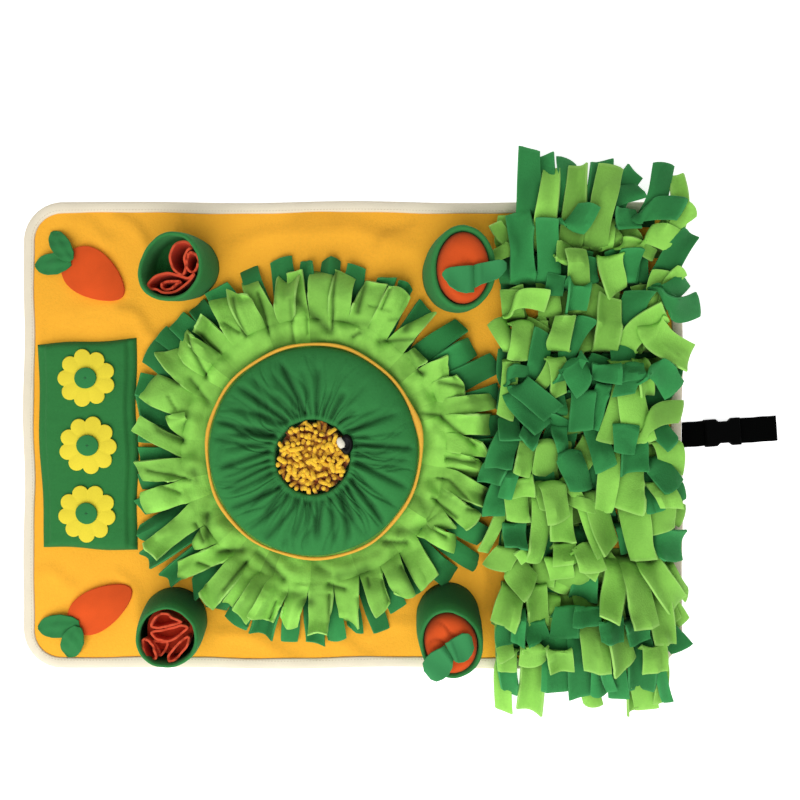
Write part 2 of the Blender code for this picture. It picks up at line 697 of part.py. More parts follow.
def strip_route(form, number):
    high = number % 2 == 1
    if form == "hem":
        return HEM_ROUTE
    if form == "upright":
        return UPRIGHT_FORWARD if high else UPRIGHT_BACK
    if form == "steep":
        return rise_route(STEEP_HIGH if high else STEEP_LOW)
    rise = HIGH_STRIP if high else LOW_STRIP
    run = rise.run * chance.uniform(0.90, 1.0)
    return rise_route(Rise(run, rise.height * chance.uniform(0.97, 1.03), rise.easing))


def build_field(materials):
    for number, band in enumerate(BANDS, 1):
        outline = band_outline(band)
        loops = [at_height(outline, ON_PANEL), at_height(outline, ON_PANEL + FLEECE)]
        grown = {}
        for place in range(FIELD_STRIPS):
            side = 1 + 2 * place
            root = (loops[0][side], loops[0][side + 1], loops[1][side + 1], loops[1][side])
            middle = (root[0][0] + root[1][0]) / 2
            share = (middle - FIELD_LEFT) / (FIELD_RIGHT - FIELD_LEFT)
            fan = FAN_LEFT + (FAN_RIGHT - FAN_LEFT) * share ** 1.6
            if band.form == "upright":
                fan /= 3
            swing = chance.uniform(-SWING, SWING) if band.form in ("shingle", "steep") else 0.0
            heading = band.facing * (math.pi / 2 - fan - swing)
            width = abs(root[0][0] - root[1][0])
            grown[side] = strip_sections(root, heading, strip_route(band.form, place), width, FLEECE)
        add_piece(f"fringe_band_{number:02d}", skin(loops, strips=grown), materials[band.colour])


# ---------------------------------------------------------------- closing strap
def along_strap(points, z):
    """Points given as (along, across) the strap, turned to its direction from the mat's edge."""
    edge = max(x for x, y, _ in mat_outline(0.0, 0.0) if x > 0 and abs(y) < MAT_WIDTH / 8) + GAP
    turned = []
    for along, across in points:
        x = edge + along * math.cos(STRAP_ANGLE) - across * math.sin(STRAP_ANGLE)
        y = along * math.sin(STRAP_ANGLE) + across * math.cos(STRAP_ANGLE)
        turned.append((x, y, z))
    return turned


def strap_piece(start, end, slant=0.0):
    """A flat length of webbing, cut at a slant to its own direction where it meets the mat."""
    half = STRAP_WIDTH / 2
    outline = ((start - slant * half, -half), (end, -half), (end, half), (start + slant * half, half))
    return skin([along_strap(outline, 0.0), along_strap(outline, WEBBING)])


def build_strap(materials):
    bm = strap_piece(0.0, BUCKLE_START - GAP, math.tan(STRAP_ANGLE))
    add_piece("strap_webbing", bm, materials["black_webbing"])
    side = (
        (BUCKLE_START, BUCKLE_HALF),
        (BUCKLE_START + BUCKLE_HEAD, BUCKLE_HALF),
        (BUCKLE_START + BUCKLE_HEAD + BUCKLE_SLOPE, BUCKLE_WAIST),
        (BUCKLE_END - BUCKLE_HEEL - BUCKLE_SLOPE, BUCKLE_WAIST),
        (BUCKLE_END - BUCKLE_HEEL, BUCKLE_HALF),
        (BUCKLE_END, BUCKLE_HALF),
    )
    outline = [(along, -across) for along, across in side] + list(reversed(side))
    drawn = inset(outline, BUCKLE_BEVEL)
    loops = [
        along_strap(drawn, 0.0),
        along_strap(outline, BUCKLE_BEVEL),
        along_strap(outline, BUCKLE_THICK - BUCKLE_BEVEL),
        along_strap(drawn, BUCKLE_THICK),
    ]
    add_piece("buckle", skin(loops), materials["black_plastic"])
    bm = strap_piece(BUCKLE_END + GAP, STRAP_END)
    add_piece("strap_end", bm, materials["black_webbing"])


clear_scene()
finishes = {name: make_material(name) for name in COLOURS}
build_mat(finishes)
build_pocket(finishes)
build_carrots_and_leaves(finishes)
build_pots(finishes)
build_ring(
    "ring_fringe_dark", DARK_RING_IN, DARK_RING_OUT, DARK_RING_REACH, DARK_RING_STRIPS,
    DARK_RING_RUN, 0.03, finishes["dark_fleece"],
)
build_ring(
    "ring_fringe_light", LIGHT_RING_IN, LIGHT_RING_OUT, LIGHT_RING_REACH, LIGHT_RING_STRIPS,
    LIGHT_RING_RUN, 0.05, finishes["light_fleece"],
)
build_puff(finishes)
build_piping(finishes)
build_pile(finishes)
build_cord_lock(finishes)
build_field(finishes)
build_strap(finishes)
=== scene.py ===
import math
import random
from collections import namedtuple

import bmesh
import bpy
import numpy as np
from mathutils import Matrix, Vector, noise


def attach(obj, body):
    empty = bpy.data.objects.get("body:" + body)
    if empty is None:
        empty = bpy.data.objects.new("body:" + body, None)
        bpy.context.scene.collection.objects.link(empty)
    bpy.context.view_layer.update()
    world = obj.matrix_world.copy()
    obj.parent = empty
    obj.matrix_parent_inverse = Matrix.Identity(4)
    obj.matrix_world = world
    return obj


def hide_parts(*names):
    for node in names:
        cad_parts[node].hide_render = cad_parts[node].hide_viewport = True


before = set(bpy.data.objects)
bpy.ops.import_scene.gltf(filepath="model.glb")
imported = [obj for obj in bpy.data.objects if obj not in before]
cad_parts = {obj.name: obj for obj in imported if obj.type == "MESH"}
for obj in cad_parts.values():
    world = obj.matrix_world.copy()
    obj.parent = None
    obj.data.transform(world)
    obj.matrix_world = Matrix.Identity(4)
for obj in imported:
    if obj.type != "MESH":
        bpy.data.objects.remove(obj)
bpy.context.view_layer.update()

# ---------------------------------------------------------------- table, light and camera
# The mat is laid flat on a white table, under soft light that comes mostly from its near long side.
# It is looked at from straight above.
CAMERA_PLACE = (0.0503, 0.0375, 1.1530)
CAMERA_LENS = 48.4
KEY_PLACE = (-0.40, -1.25, 1.80)
KEY_SIZE = 2.3
KEY_POWER = 50.0
SKY_LIGHT = 0.42
WHITE = (1, 1, 1, 1)
TABLE_HALF = 12.0
TABLE_TOP = -0.0004
TABLE_GLOW = 0.70


class Wire:
    """One output of a material's nodes, which sums and products are written with."""

    def __init__(self, finish, socket):
        self.finish = finish
        self.socket = socket

    def reckon(self, operation, *values):
        return self.finish.node("ShaderNodeMath", {"operation": operation}, dict(enumerate(values)))

    def __add__(self, other):
        return self.reckon("ADD", self, other)

    __radd__ = __add__

    def __sub__(self, other):
        return self.reckon("SUBTRACT", self, other)

    def __rsub__(self, other):
        return self.reckon("SUBTRACT", other, self)

    def __mul__(self, other):
        return self.reckon("MULTIPLY", self, other)

    def __abs__(self):
        return self.reckon("ABSOLUTE", self)


class Finish:
    """A material that is put together from nodes."""

    def __init__(self, name, **constants):
        self.material = bpy.data.materials.new(name)
        self.material.use_nodes = True
        self.shader = self.material.node_tree.nodes["Principled BSDF"]
        for socket, value in constants.items():
            self.shader.inputs[socket.replace("_", " ")].default_value = value

    def put(self, node, socket, value):
        if isinstance(value, Wire):
            self.material.node_tree.links.new(value.socket, node.inputs[socket])
        else:
            node.inputs[socket].default_value = value

    def node(self, kind, settings, values, take=0):
        made = self.material.node_tree.nodes.new(kind)
        for setting, value in settings.items():
            setattr(made, setting, value)
        for socket, value in values.items():
            self.put(made, socket, value)
        return Wire(self, made.outputs[take])

    def show(self, socket, value):
        self.put(self.shader, socket, value)

    def place(self):
        return self.node("ShaderNodeTexCoord", {}, {}, "Object")

    def map(self, layer):
        return self.node("ShaderNodeUVMap", {"uv_map": layer}, {})

    def part(self, place, axis):
        return self.node("ShaderNodeSeparateXYZ", {}, {"Vector": place}, axis)

    def noise(self, place, scale, detail, **more):
        ins = {"Vector": place, "Scale": scale, "Detail": detail, **more}
        return self.node("ShaderNodeTexNoise", {}, ins)

    def waves(self, place, axis, scale, distortion, **more):
        values = {"Vector": place, "Scale": scale, "Distortion": distortion, **more}
        return self.node("ShaderNodeTexWave", {"bands_direction": axis}, values)

    def spread(self, value, low, high, foot=0.0):
        """How far a value is on its way from low to high, counted from foot to 1."""
        values = {"Value": value, "From Min": low, "From Max": high, "To Min": foot}
        return self.node("ShaderNodeMapRange", {}, values)

    def tint(self, colour, shade):
        return self.node("ShaderNodeVectorMath", {"operation": "SCALE"}, {"Vector": colour, "Scale": shade})

    def mix(self, share, one, other):
        return self.node("ShaderNodeMix", {"data_type": "RGBA"}, {0: share, 6: one, 7: other}, 2)

    def colour(self, worn):
        """Show a colour, and keep it for what is worked out from it."""
        self.worn = worn
        self.show("Base Color", worn)
        return self

    def grain(self, height, distance, strength):
        values = {"Height": height, "Distance": distance, "Strength": strength}
        self.show("Normal", self.node("ShaderNodeBump", {}, values))
        return self


def place_in_scene(name, data):
    made = bpy.data.objects.new(name, data)
    bpy.context.scene.collection.objects.link(made)
    return made


def place_mesh(name, bm, finish):
    mesh = bpy.data.meshes.new(name)
    bm.to_mesh(mesh)
    bm.free()
    mesh.materials.append(finish.material)
    return place_in_scene(name, mesh)


table_finish = Finish(
    "table_white", Base_Color=(0.92, 0.92, 0.92, 1), Roughness=0.9, Emission_Color=WHITE,
    Emission_Strength=TABLE_GLOW,
)
bm = bmesh.new()
bmesh.ops.create_grid(bm, x_segments=1, y_segments=1, size=TABLE_HALF)
bmesh.ops.translate(bm, verts=bm.verts, vec=(0, 0, TABLE_TOP))
place_mesh("table", bm, table_finish)

camera = place_in_scene("camera", bpy.data.cameras.new("camera"))
camera.data.sensor_width = 36.0
camera.data.lens = CAMERA_LENS
camera.location = CAMERA_PLACE
bpy.context.scene.camera = camera

key = place_in_scene("key_light", bpy.data.lights.new("key_light", "AREA"))
key.data.size = KEY_SIZE
key.data.energy = KEY_POWER
key.location = KEY_PLACE
key.rotation_euler = (-Vector(KEY_PLACE)).to_track_quat("-Z", "Y").to_euler()

sky = bpy.data.worlds.new("sky")
sky.use_nodes = True
background = sky.node_tree.nodes["Background"]
background.inputs["Color"].default_value = WHITE
background.inputs["Strength"].default_value = SKY_LIGHT
bpy.context.scene.world = sky
bpy.context.scene.view_settings.view_transform = "Standard"
bpy.context.scene.view_settings.look = "None"

# ---------------------------------------------------------------- mat panel
# A panel of orange fleece, quilted to its backing only round the edge, so that it lies in soft creases.
# Its edge ends inside the folded tape.
MAT_LENGTH = 0.704
MAT_WIDTH = 0.498
MAT_CORNER = 0.042
EDGE_WAVE = 0.0012
PANEL_TOP = 0.0030
PANEL_THICK = 0.0028
PANEL_INSET = 0.0030  # how far inside the mat's edge the panel ends
PANEL_EDGE_STEPS = 240
PANEL_SQUARE = 0.0055
PANEL_WAVE = 0.0006
CREASE_BOW = 0.006
CREASE_PAINTED_SHADE = 44
FLOWER_X = -0.0407
FLOWER_Y = -0.0165

PANEL_CREASES = (  # from x, y to x, y, half width, height
    (-0.256, 0.234, -0.206, 0.192, 0.006, 0.0034),
    (-0.300, 0.226, -0.262, 0.212, 0.008, 0.0020),
    (-0.196, 0.236, -0.184, 0.216, 0.006, 0.0026),
    (-0.250, 0.132, -0.212, 0.108, 0.007, 0.0028),
    (-0.238, 0.150, -0.300, 0.124, 0.008, 0.0018),
    (-0.060, 0.226, 0.060, 0.206, 0.011, 0.0026),
    (-0.125, 0.200, -0.020, 0.222, 0.009, 0.0020),
    (0.030, 0.196, 0.064, 0.226, 0.007, 0.0026),
    (-0.250, -0.150, -0.222, -0.200, 0.007, 0.0022),
    (-0.336, -0.150, -0.300, -0.158, 0.008, 0.0016),
    (-0.140, -0.214, -0.060, -0.238, 0.008, 0.0028),
    (-0.040, -0.222, 0.020, -0.236, 0.008, 0.0022),
    (0.020, -0.214, 0.062, -0.196, 0.008, 0.0022),
    (0.128, -0.128, 0.146, -0.186, 0.006, 0.0024),
    (-0.336, 0.120, -0.345, -0.120, 0.005, 0.0010),
)


def clamp(value, low=0.0, high=1.0):
    return min(high, max(low, value))


def bell(off):
    """1 at the middle of something, and fading to nothing about two of its half widths away."""
    return math.exp(-(off ** 2))


def lumps(*spot):
    """Soft unevenness at a spot in three numbers, from about -1 to 1."""
    return noise.noise(Vector(spot))


def lumps_round(turn, size, height):
    """The same, on a way round that closes."""
    return lumps(math.cos(turn) * size, math.sin(turn) * size, height)


def mat_edge(out, share):
    """The point at a share of the way round the mat's rounded edge, grown by out, and the way outwards."""
    half_x = MAT_LENGTH / 2 - MAT_CORNER
    half_y = MAT_WIDTH / 2 - MAT_CORNER
    quarter = math.pi / 2 * MAT_CORNER
    run = share * (4 * half_x + 4 * half_y + 4 * quarter)
    middles = ((half_x, half_y), (-half_x, half_y), (-half_x, -half_y), (half_x, -half_y))
    for corner, (mid_x, mid_y) in enumerate(middles):
        side = 2 * (half_x if corner % 2 == 0 else half_y)
        if run <= quarter or (corner == 3 and run > quarter + side):
            angle = (corner + run / quarter) * math.pi / 2
            outward = Vector((math.cos(angle), math.sin(angle)))
            return Vector((mid_x, mid_y)) + outward * (MAT_CORNER + out), outward
        run -= quarter
        if run <= side:
            along = run / side
            next_x, next_y = middles[(corner + 1) % 4]
            angle = (corner + 1) * math.pi / 2
            outward = Vector((math.cos(angle), math.sin(angle)))
            wave = EDGE_WAVE * math.sin(math.pi * along) * math.sin(5 * math.pi * along + corner)
            place = Vector((mid_x + (next_x - mid_x) * along, mid_y + (next_y - mid_y) * along))
            return place + outward * (MAT_CORNER + out + wave), outward
        run -= side
    return mat_edge(out, 0.0)


def panel_lie(x, y):
    """How far creases lift the panel at a spot, and its painted light and shade there."""
    rise, dark = 0.0, 0.0
    for x0, y0, x1, y1, half, height in PANEL_CREASES:
        along = Vector((x1 - x0, y1 - y0))
        share = ((x - x0) * along.x + (y - y0) * along.y) / along.length_squared
        over = max(0.0, -share, share - 1) * along.length
        bow = CREASE_BOW * math.sin(math.pi * clamp(share) * 1.5)
        off = ((x - x0) * -along.y + (y - y0) * along.x) / along.length - bow
        rise += height * bell(math.hypot(off, over) / half)
        # painted shade: a dark band along one foot of each crease, where shade falls
        dark += CREASE_PAINTED_SHADE * height * bell((off - half * 0.9) / half / 0.75) * bell(over / half)
    wave = lumps(x * 14, y * 14, 3.1) + 0.5 * lumps(x * 31, y * 31, 8.7)
    edge = min(MAT_LENGTH / 2 - abs(x), MAT_WIDTH / 2 - abs(y)) - 0.013
    # painted light: the panel is a little lighter where its soft waves rise
    return (rise + PANEL_WAVE * wave) * clamp(edge / 0.02), 1.0 - dark + 0.06 * wave


def make_fleece(name, colour, light, roughness=0.93):
    """Brushed fleece: a short nap with small pills, in a colour that is uneven from place to place."""
    finish = Finish(
        name, Roughness=roughness, Specular_IOR_Level=0.25, Sheen_Weight=0.10, Sheen_Roughness=0.45,
        Sheen_Tint=(*light, 1),
    )
    place = finish.place()
    broad = finish.noise(place, 11, 2)
    nap = finish.noise(place, 330, 4, Roughness=0.62)
    fibre = finish.noise(place, 2400, 2)
    pills = finish.node("ShaderNodeTexVoronoi", {}, {"Vector": place, "Scale": 620, "Randomness": 1.0})
    finish.colour(finish.tint(colour, 0.76 + broad * 0.16 + nap * 0.22 + fibre * 0.10))
    return finish.grain(nap * 0.9 + fibre * 0.35 - pills * 0.5, 0.0009, 0.45)


def paint_shade_from_map(finish):
    """Scale a cloth's colour by the painted light and shade in its map, darker down in creases and by its
    foot.
    """
    return finish.colour(finish.tint(finish.worn, finish.part(finish.map("dye_lot_and_shade"), 1)))


# Keep each point's painted light and shade in a UV map of the cloth, 1 where none is given.
def mark_painted_shade(bm, shades):
    dye_lot_and_shade = bm.loops.layers.uv.new("dye_lot_and_shade")
    for face in bm.faces:
        for loop in face.loops:
            loop[dye_lot_and_shade].uv = (0.5, shades.get(loop.vert, 1.0))


def make_piece(name, bm, finish, nodes):
    """A finished mesh becomes a piece of the mat, and stands for its CAD nodes."""
    piece = place_mesh(name, bm, finish)
    piece.data.polygons.foreach_set("use_smooth", [True] * len(piece.data.polygons))
    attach(piece, "root")
    if nodes:
        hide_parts(*nodes)
    return piece


def soften(piece, width, degrees=48):
    """Round a piece's cut edges."""
    edge = piece.modifiers.new("soft_edge", "BEVEL")
    edge.width = width
    edge.segments = 2
    edge.limit_method = "ANGLE"
    edge.angle_limit = math.radians(degrees)


def thicken(piece, thickness, offset=0.0, bevel=0.0):
    """Give a cloth face its thickness, and round its cut edges."""
    cloth = piece.modifiers.new("cloth", "SOLIDIFY")
    cloth.thickness = thickness
    cloth.offset = offset
    if bevel:
        soften(piece, bevel, 50)


orange_fleece = paint_shade_from_map(make_fleece("orange_fleece", (1.0, 0.470, 0.033), (1.0, 0.72, 0.35)))

bm = bmesh.new()
bm.faces.new([
    bm.verts.new((*mat_edge(-PANEL_INSET, step / PANEL_EDGE_STEPS)[0], PANEL_TOP))
    for step in range(PANEL_EDGE_STEPS)
])
for axis, reach in ((0, MAT_LENGTH / 2), (1, MAT_WIDTH / 2)):
    for step in range(1, int(2 * reach / PANEL_SQUARE)):
        place = [0.0, 0.0, 0.0]
        way = [0.0, 0.0, 0.0]
        place[axis] = -reach + step * PANEL_SQUARE
        way[axis] = 1.0
        whole = bm.verts[:] + bm.edges[:] + bm.faces[:]
        bmesh.ops.bisect_plane(bm, geom=whole, plane_co=place, plane_no=way)
# Each point of the panel keeps its painted shade, which darkens the orange fleece.
shades = {}
for vert in bm.verts:
    rise, shades[vert] = panel_lie(vert.co.x, vert.co.y)
    vert.co.z += rise
mark_painted_shade(bm, shades)
mat_panel = make_piece("mat_panel_cloth", bm, orange_fleece, ["mat_panel"])
thicken(mat_panel, PANEL_THICK, -1.0)

# ---------------------------------------------------------------- edge binding
# A cream twill tape, folded over the panel's edge on both sides, and stitched through near its inner edge.
TAPE_STEPS = 420
TAPE_RIPPLE = 0.0006
RIBS_A_METRE = 700
TAPE_SECTION = (  # (outwards, height) round the folded tape
    (-0.0115, 0.0003), (-0.0060, 0.0000), (-0.0016, 0.0002), (-0.0003, 0.0009), (0.0003, 0.0022),
    (-0.0002, 0.0036), (-0.0016, 0.0045), (-0.0055, 0.0050), (-0.0100, 0.0044), (-0.0116, 0.0034),
    (-0.0110, 0.0030), (-0.0060, 0.0030),
)
BINDING_SEAM = (-0.0088, 0.0048)  # outwards from the mat's edge, height
SEAM_STEPS = 600


def make_tape_cloth():
    """Cream tape with fine ribs across it."""
    finish = Finish("cream_tape", Roughness=0.82, Sheen_Weight=0.15)
    ribs = finish.waves(finish.map("tape"), "X", 1.0, 0.6, Detail=1)
    spot = finish.place()
    soil = finish.noise(spot, 26, 3)
    weave = finish.noise(spot, 1500, 2)
    finish.colour(finish.tint((0.98, 0.88, 0.68), 0.80 + ribs * 0.06 + soil * 0.16 + weave * 0.10))
    return finish.grain(ribs * 0.6 + weave * 0.4, 0.0004, 0.5)


tape_cloth = make_tape_cloth()
bm = bmesh.new()
uv = bm.loops.layers.uv.new("tape")
rings = []
for out, z in TAPE_SECTION:
    ring = []
    for step in range(TAPE_STEPS):
        share = step / TAPE_STEPS
        ripple = 0.0
        if out < -0.008 and z > 0.001:
            ripple = TAPE_RIPPLE * math.sin(share * 131) * math.sin(share * 57 + 1)
        ring.append(bm.verts.new((*mat_edge(out + ripple, share)[0], z + abs(ripple) * 0.5)))
    rings.append([bm.edges.new((ring[step - 1], ring[step])) for step in range(TAPE_STEPS)])
for lower, upper in zip(rings, rings[1:]):
    bmesh.ops.bridge_loops(bm, edges=lower + upper)
for face in bm.faces:
    for loop in face.loops:
        x, y = loop.vert.co.xy
        loop[uv].uv = ((x + y) * RIBS_A_METRE, (x - y) * RIBS_A_METRE)
bmesh.ops.recalc_face_normals(bm, faces=bm.faces)
binding = make_piece("edge_binding_tape", bm, tape_cloth, ["edge_binding"])


def add_stitches(bm, route, pitch, length, width, closed=True, sink=0.0002):
    """Short raised threads, end to end along a route of points."""
    total = [0.0]
    points = list(route)
    if closed:
        points.append(points[0])
    for one, two in zip(points, points[1:]):
        total.append(total[-1] + (Vector(two) - Vector(one)).length)
    count = max(1, int(total[-1] / pitch))
    index = 0
    for number in range(count):
        run = (number + 0.5) * total[-1] / count
        while total[index + 1] < run:
            index += 1
        one, two = Vector(points[index]), Vector(points[index + 1])
        place = one.lerp(two, (run - total[index]) / max(1e-9, total[index + 1] - total[index]))
        ahead = (two - one).normalized()
        side = Vector((0, 0, 1)).cross(ahead).normalized()
        up = ahead.cross(side)
        turn = Matrix((ahead, side, up)).transposed().to_4x4()
        size = Matrix.Diagonal((length / 2, width / 2, width / 2, 1))
        lie = Matrix.Translation(place - up * sink) @ turn @ size
        bmesh.ops.create_icosphere(bm, subdivisions=1, radius=1.0, matrix=lie)


def make_thread(name, colour):
    finish = Finish(name, Roughness=0.7)
    return finish.colour(finish.tint(colour, 0.72 + finish.noise(finish.place(), 2200, 2) * 0.5))


bm = bmesh.new()
seam_out, seam_top = BINDING_SEAM
add_stitches(
    bm, [(*mat_edge(seam_out, step / SEAM_STEPS)[0], seam_top) for step in range(SEAM_STEPS)],
    0.0034, 0.0026, 0.0007,
)
make_piece("edge_binding_stitches", bm, make_thread("cream_thread", (0.74, 0.62, 0.43)), [])

# ---------------------------------------------------------------- flower pocket
# A low pouch of dark green fleece, with a gusset down each long side. Its cloth bows up between its seams,
# and three felt flowers are sewn on it.
POCKET_CORNERS = ((-0.2312, 0.1040), (-0.3370, 0.0964), (-0.3305, -0.1198), (-0.2300, -0.1226))
POCKET_TOP = 0.0136
POCKET_FLOOR = 0.0033
GUSSET = 0.085  # share of the pocket's width that a gusset takes
GUSSET_DROP = 0.0042
FLOWERS = (  # x, y, turn
    (-0.2817, 0.0607, 0.0),
    (-0.2796, -0.0105, 0.30),
    (-0.2806, -0.0822, 0.15),
)
FLOWER_RADIUS = 0.0307
PETALS = 9
PETAL_STEPS = 10
PETAL_NOTCH = 0.0058
CENTRE_RADIUS = 0.0113
CENTRE_SEAM = 0.0094
FELT = 0.0020

dark_fleece = make_fleece("dark_fleece", (0.027, 0.188, 0.044), (0.30, 0.70, 0.36))


def open_edges(bm):
    return [edge for edge in bm.edges if edge.is_boundary]


def verts_in(made):
    return [item for item in made if isinstance(item, bmesh.types.BMVert)]


def close_up(bm, edges=None):
    """Fill one open ring of a mesh, or all that it has, and turn its faces outwards."""
    if edges:
        bmesh.ops.contextual_create(bm, geom=edges)
    else:
        bmesh.ops.holes_fill(bm, edges=open_edges(bm))
    bmesh.ops.recalc_face_normals(bm, faces=bm.faces)


def pocket_spot(across, down):
    """A spot of the pocket from its shares across, left to right, and down, with its sides' bow."""
    top_right, top_left, low_left, low_right = (Vector(corner) for corner in POCKET_CORNERS)
    left = top_left.lerp(low_left, down)
    right = top_right.lerp(low_right, down)
    left.x += 0.0016 * math.sin(9.0 * down + 0.5) * math.sin(math.pi * down)
    right.x += 0.0017 * math.sin(12.0 * down + 1.0) * math.sin(math.pi * down)
    spot = left.lerp(right, across)
    spot.y += 0.0016 * math.sin(5.5 * across + 0.6) * math.sin(math.pi * across)
    return spot


def pocket_height(across, down):
    """How high the pocket's cloth stands, over its middle panel and in its gussets."""
    near, near_end = min(across, 1 - across), min(down, 1 - down)
    shoulder = 1 - math.exp(-max(0.0, min(near * 0.105, near_end * 0.22)) / 0.0022)
    fold = min(1.0, near_end / 0.03) / (1.0 + math.exp((near - GUSSET) / 0.006))
    uneven = 0.0011 * lumps(across * 2.5, down * 6, 1.3) + 0.0004 * lumps(across * 7, down * 22, 4.2)
    groove = 0.0018 * bell((near - GUSSET) / 0.012)
    body = (POCKET_TOP - POCKET_FLOOR) * (0.93 + 0.07 * math.sin(math.pi * near * 2)) - fold * GUSSET_DROP
    return POCKET_FLOOR + (body + uneven - groove) * shoulder


bm = bmesh.new()
bmesh.ops.create_grid(bm, x_segments=56, y_segments=84, size=1.0)
for vert in bm.verts:
    across = (vert.co.x + 1) / 2
    down = (1 - vert.co.y) / 2
    vert.co = (*pocket_spot(across, down), pocket_height(across, down))
skirt = bmesh.ops.extrude_edge_only(bm, edges=open_edges(bm))["geom"]
bmesh.ops.translate(bm, verts=verts_in(skirt), vec=(0, 0, -0.0001))
close_up(bm, open_edges(bm))
pocket = make_piece("flower_pocket_cloth", bm, dark_fleece, ["flower_pocket"])


def make_felt(name, colour, light, uneven=0.16):
    """Pressed wool felt: short matted fibres in a slightly mottled colour."""
    finish = Finish(
        name, Roughness=0.95, Specular_IOR_Level=0.25, Sheen_Weight=0.10, Sheen_Roughness=0.5,
        Sheen_Tint=(*light, 1),
    )
    place = finish.place()
    broad = finish.noise(place, 30, 2)
    matted = finish.noise(place, 900, 4, Roughness=0.7, Distortion=1.2)
    finish.colour(finish.tint(colour, 0.86 - uneven / 2 + broad * uneven + matted * 0.26))
    return finish.grain(matted, 0.0005, 0.5)


def cut_shape(outline, low, dome, rings, thick=FELT):
    """A felt shape cut to an outline, crowned by dome, with its edge turned down."""
    high = low + thick
    bm = bmesh.new()
    face = bm.faces.new([bm.verts.new((*spot, high)) for spot in outline])
    if face.normal.z < 0:
        face.normal_flip()
    middle = sum((vert.co for vert in bm.verts), Vector()) / len(outline)
    inner = [face]
    for step in range(rings):
        bmesh.ops.inset_region(bm, faces=inner, thickness=0.0024, use_even_offset=True)
        for vert in inner[0].verts:
            vert.co.z = high + dome * (1 - (1 - (step + 1) / (rings + 1)) ** 2)
    bmesh.ops.poke(bm, faces=inner)
    for vert in bm.verts:
        if not vert.is_boundary and (vert.co.xy - middle.xy).length < 0.0006:
            vert.co.z = high + dome
    for vert in verts_in(bmesh.ops.extrude_edge_only(bm, edges=open_edges(bm))["geom"]):
        vert.co.z = low
    close_up(bm, open_edges(bm))
    return bm


def round_spots(x, y, radii, turn=0.0):
    """Points round a middle, one for each radius, from a turn on."""
    angles = [turn + 2 * math.pi * step / len(radii) for step in range(len(radii))]
    return [(x + out * math.cos(angle), y + out * math.sin(angle)) for out, angle in zip(radii, angles)]


yellow_felt = make_felt("yellow_felt", (0.86, 0.70, 0.045), (1.0, 0.9, 0.5))
green_felt = make_felt("green_felt", (0.030, 0.215, 0.058), (0.3, 0.6, 0.35))
green_thread = make_thread("green_thread", (0.012, 0.085, 0.030))
for number, (x, y, turn) in enumerate(FLOWERS, 1):
    low = POCKET_TOP + 0.0006
    radii = []
    for step in range(PETALS * PETAL_STEPS):
        angle = turn + 2 * math.pi * step / (PETALS * PETAL_STEPS)
        notch = PETAL_NOTCH * (1 - abs(math.sin(math.pi * step / PETAL_STEPS)) ** 0.70)
        radii.append(FLOWER_RADIUS - notch + 0.0005 * math.sin(angle * 3 + number * 2))
    bm = cut_shape(round_spots(x, y, radii, turn), low, 0.0001, 2)
    name = f"felt_flower_{number}"
    flower = make_piece(f"{name}_cut", bm, yellow_felt, [name])
    soften(flower, 0.0006)
    high = low + FELT + 0.0005
    radii = [CENTRE_RADIUS + 0.0003 * math.sin(4 * math.pi * step / 36 + number) for step in range(36)]
    bm = cut_shape(round_spots(x, y, radii), high, 0.0009, 3)
    name = f"flower_centre_{number}"
    centre = make_piece(f"{name}_cut", bm, green_felt, [name])
    soften(centre, 0.0006)
    bm = bmesh.new()
    seam = [(*spot, high + FELT + 0.0005) for spot in round_spots(x, y, [CENTRE_SEAM] * 28)]
    add_stitches(bm, seam, 0.0026, 0.0017, 0.0005)
    top = high + FELT + 0.0010
    for across, up in ((0.0030, 0.0), (0.0, 0.0022)):
        cross = [(x - across, y - up, top), (x + across, y + up, top)]
        add_stitches(bm, cross, 0.02, 0.0048, 0.0008, closed=False)
    make_piece(f"{name}_stitches", bm, green_thread, [])

# ---------------------------------------------------------------- flat carrots and their leaves
# Two carrots of orange-red felt, sewn flat on the panel, each with two leaves of green felt at its crown.
CARROTS = (  # name, x, y, length, width, heading
    ("upper", -0.2755, 0.1696, 0.0740, 0.0490, -35),
    ("lower", -0.2686, -0.1835, 0.0760, 0.0430, 32),
)
CARROT_LOW = 0.0036
CARROT_DOME = 0.0026
carrot_felt = make_felt("carrot_felt", (0.74, 0.088, 0.012), (1.0, 0.5, 0.3), 0.44)
carrot_thread = make_thread("carrot_thread", (0.45, 0.035, 0.008))


def carrot_outline(x, y, length, width, heading, shrink=0.0, steps=66):
    turn = math.radians(heading)
    points = []
    for step in range(steps):
        angle = 2 * math.pi * step / steps
        along = (length / 2 - shrink) * math.cos(angle)
        across = (width / 2 - shrink) * math.sin(angle) * (1 - 0.28 * math.cos(angle))
        points.append((
            x + along * math.cos(turn) - across * math.sin(turn),
            y + along * math.sin(turn) + across * math.cos(turn),
        ))
    return points


for name, x, y, length, width, heading in CARROTS:
    name = f"flat_carrot_{name}"
    bm = cut_shape(carrot_outline(x, y, length, width, heading), CARROT_LOW, CARROT_DOME, 5)
    carrot = make_piece(f"{name}_felt", bm, carrot_felt, [name])
    soften(carrot, 0.0007)
    bm = bmesh.new()
    seam = [(*spot, 0.0062) for spot in carrot_outline(x, y, length, width, heading, 0.0022)]
    add_stitches(bm, seam, 0.0036, 0.0024, 0.0006)
    make_piece(f"{name}_stitches", bm, carrot_thread, [])

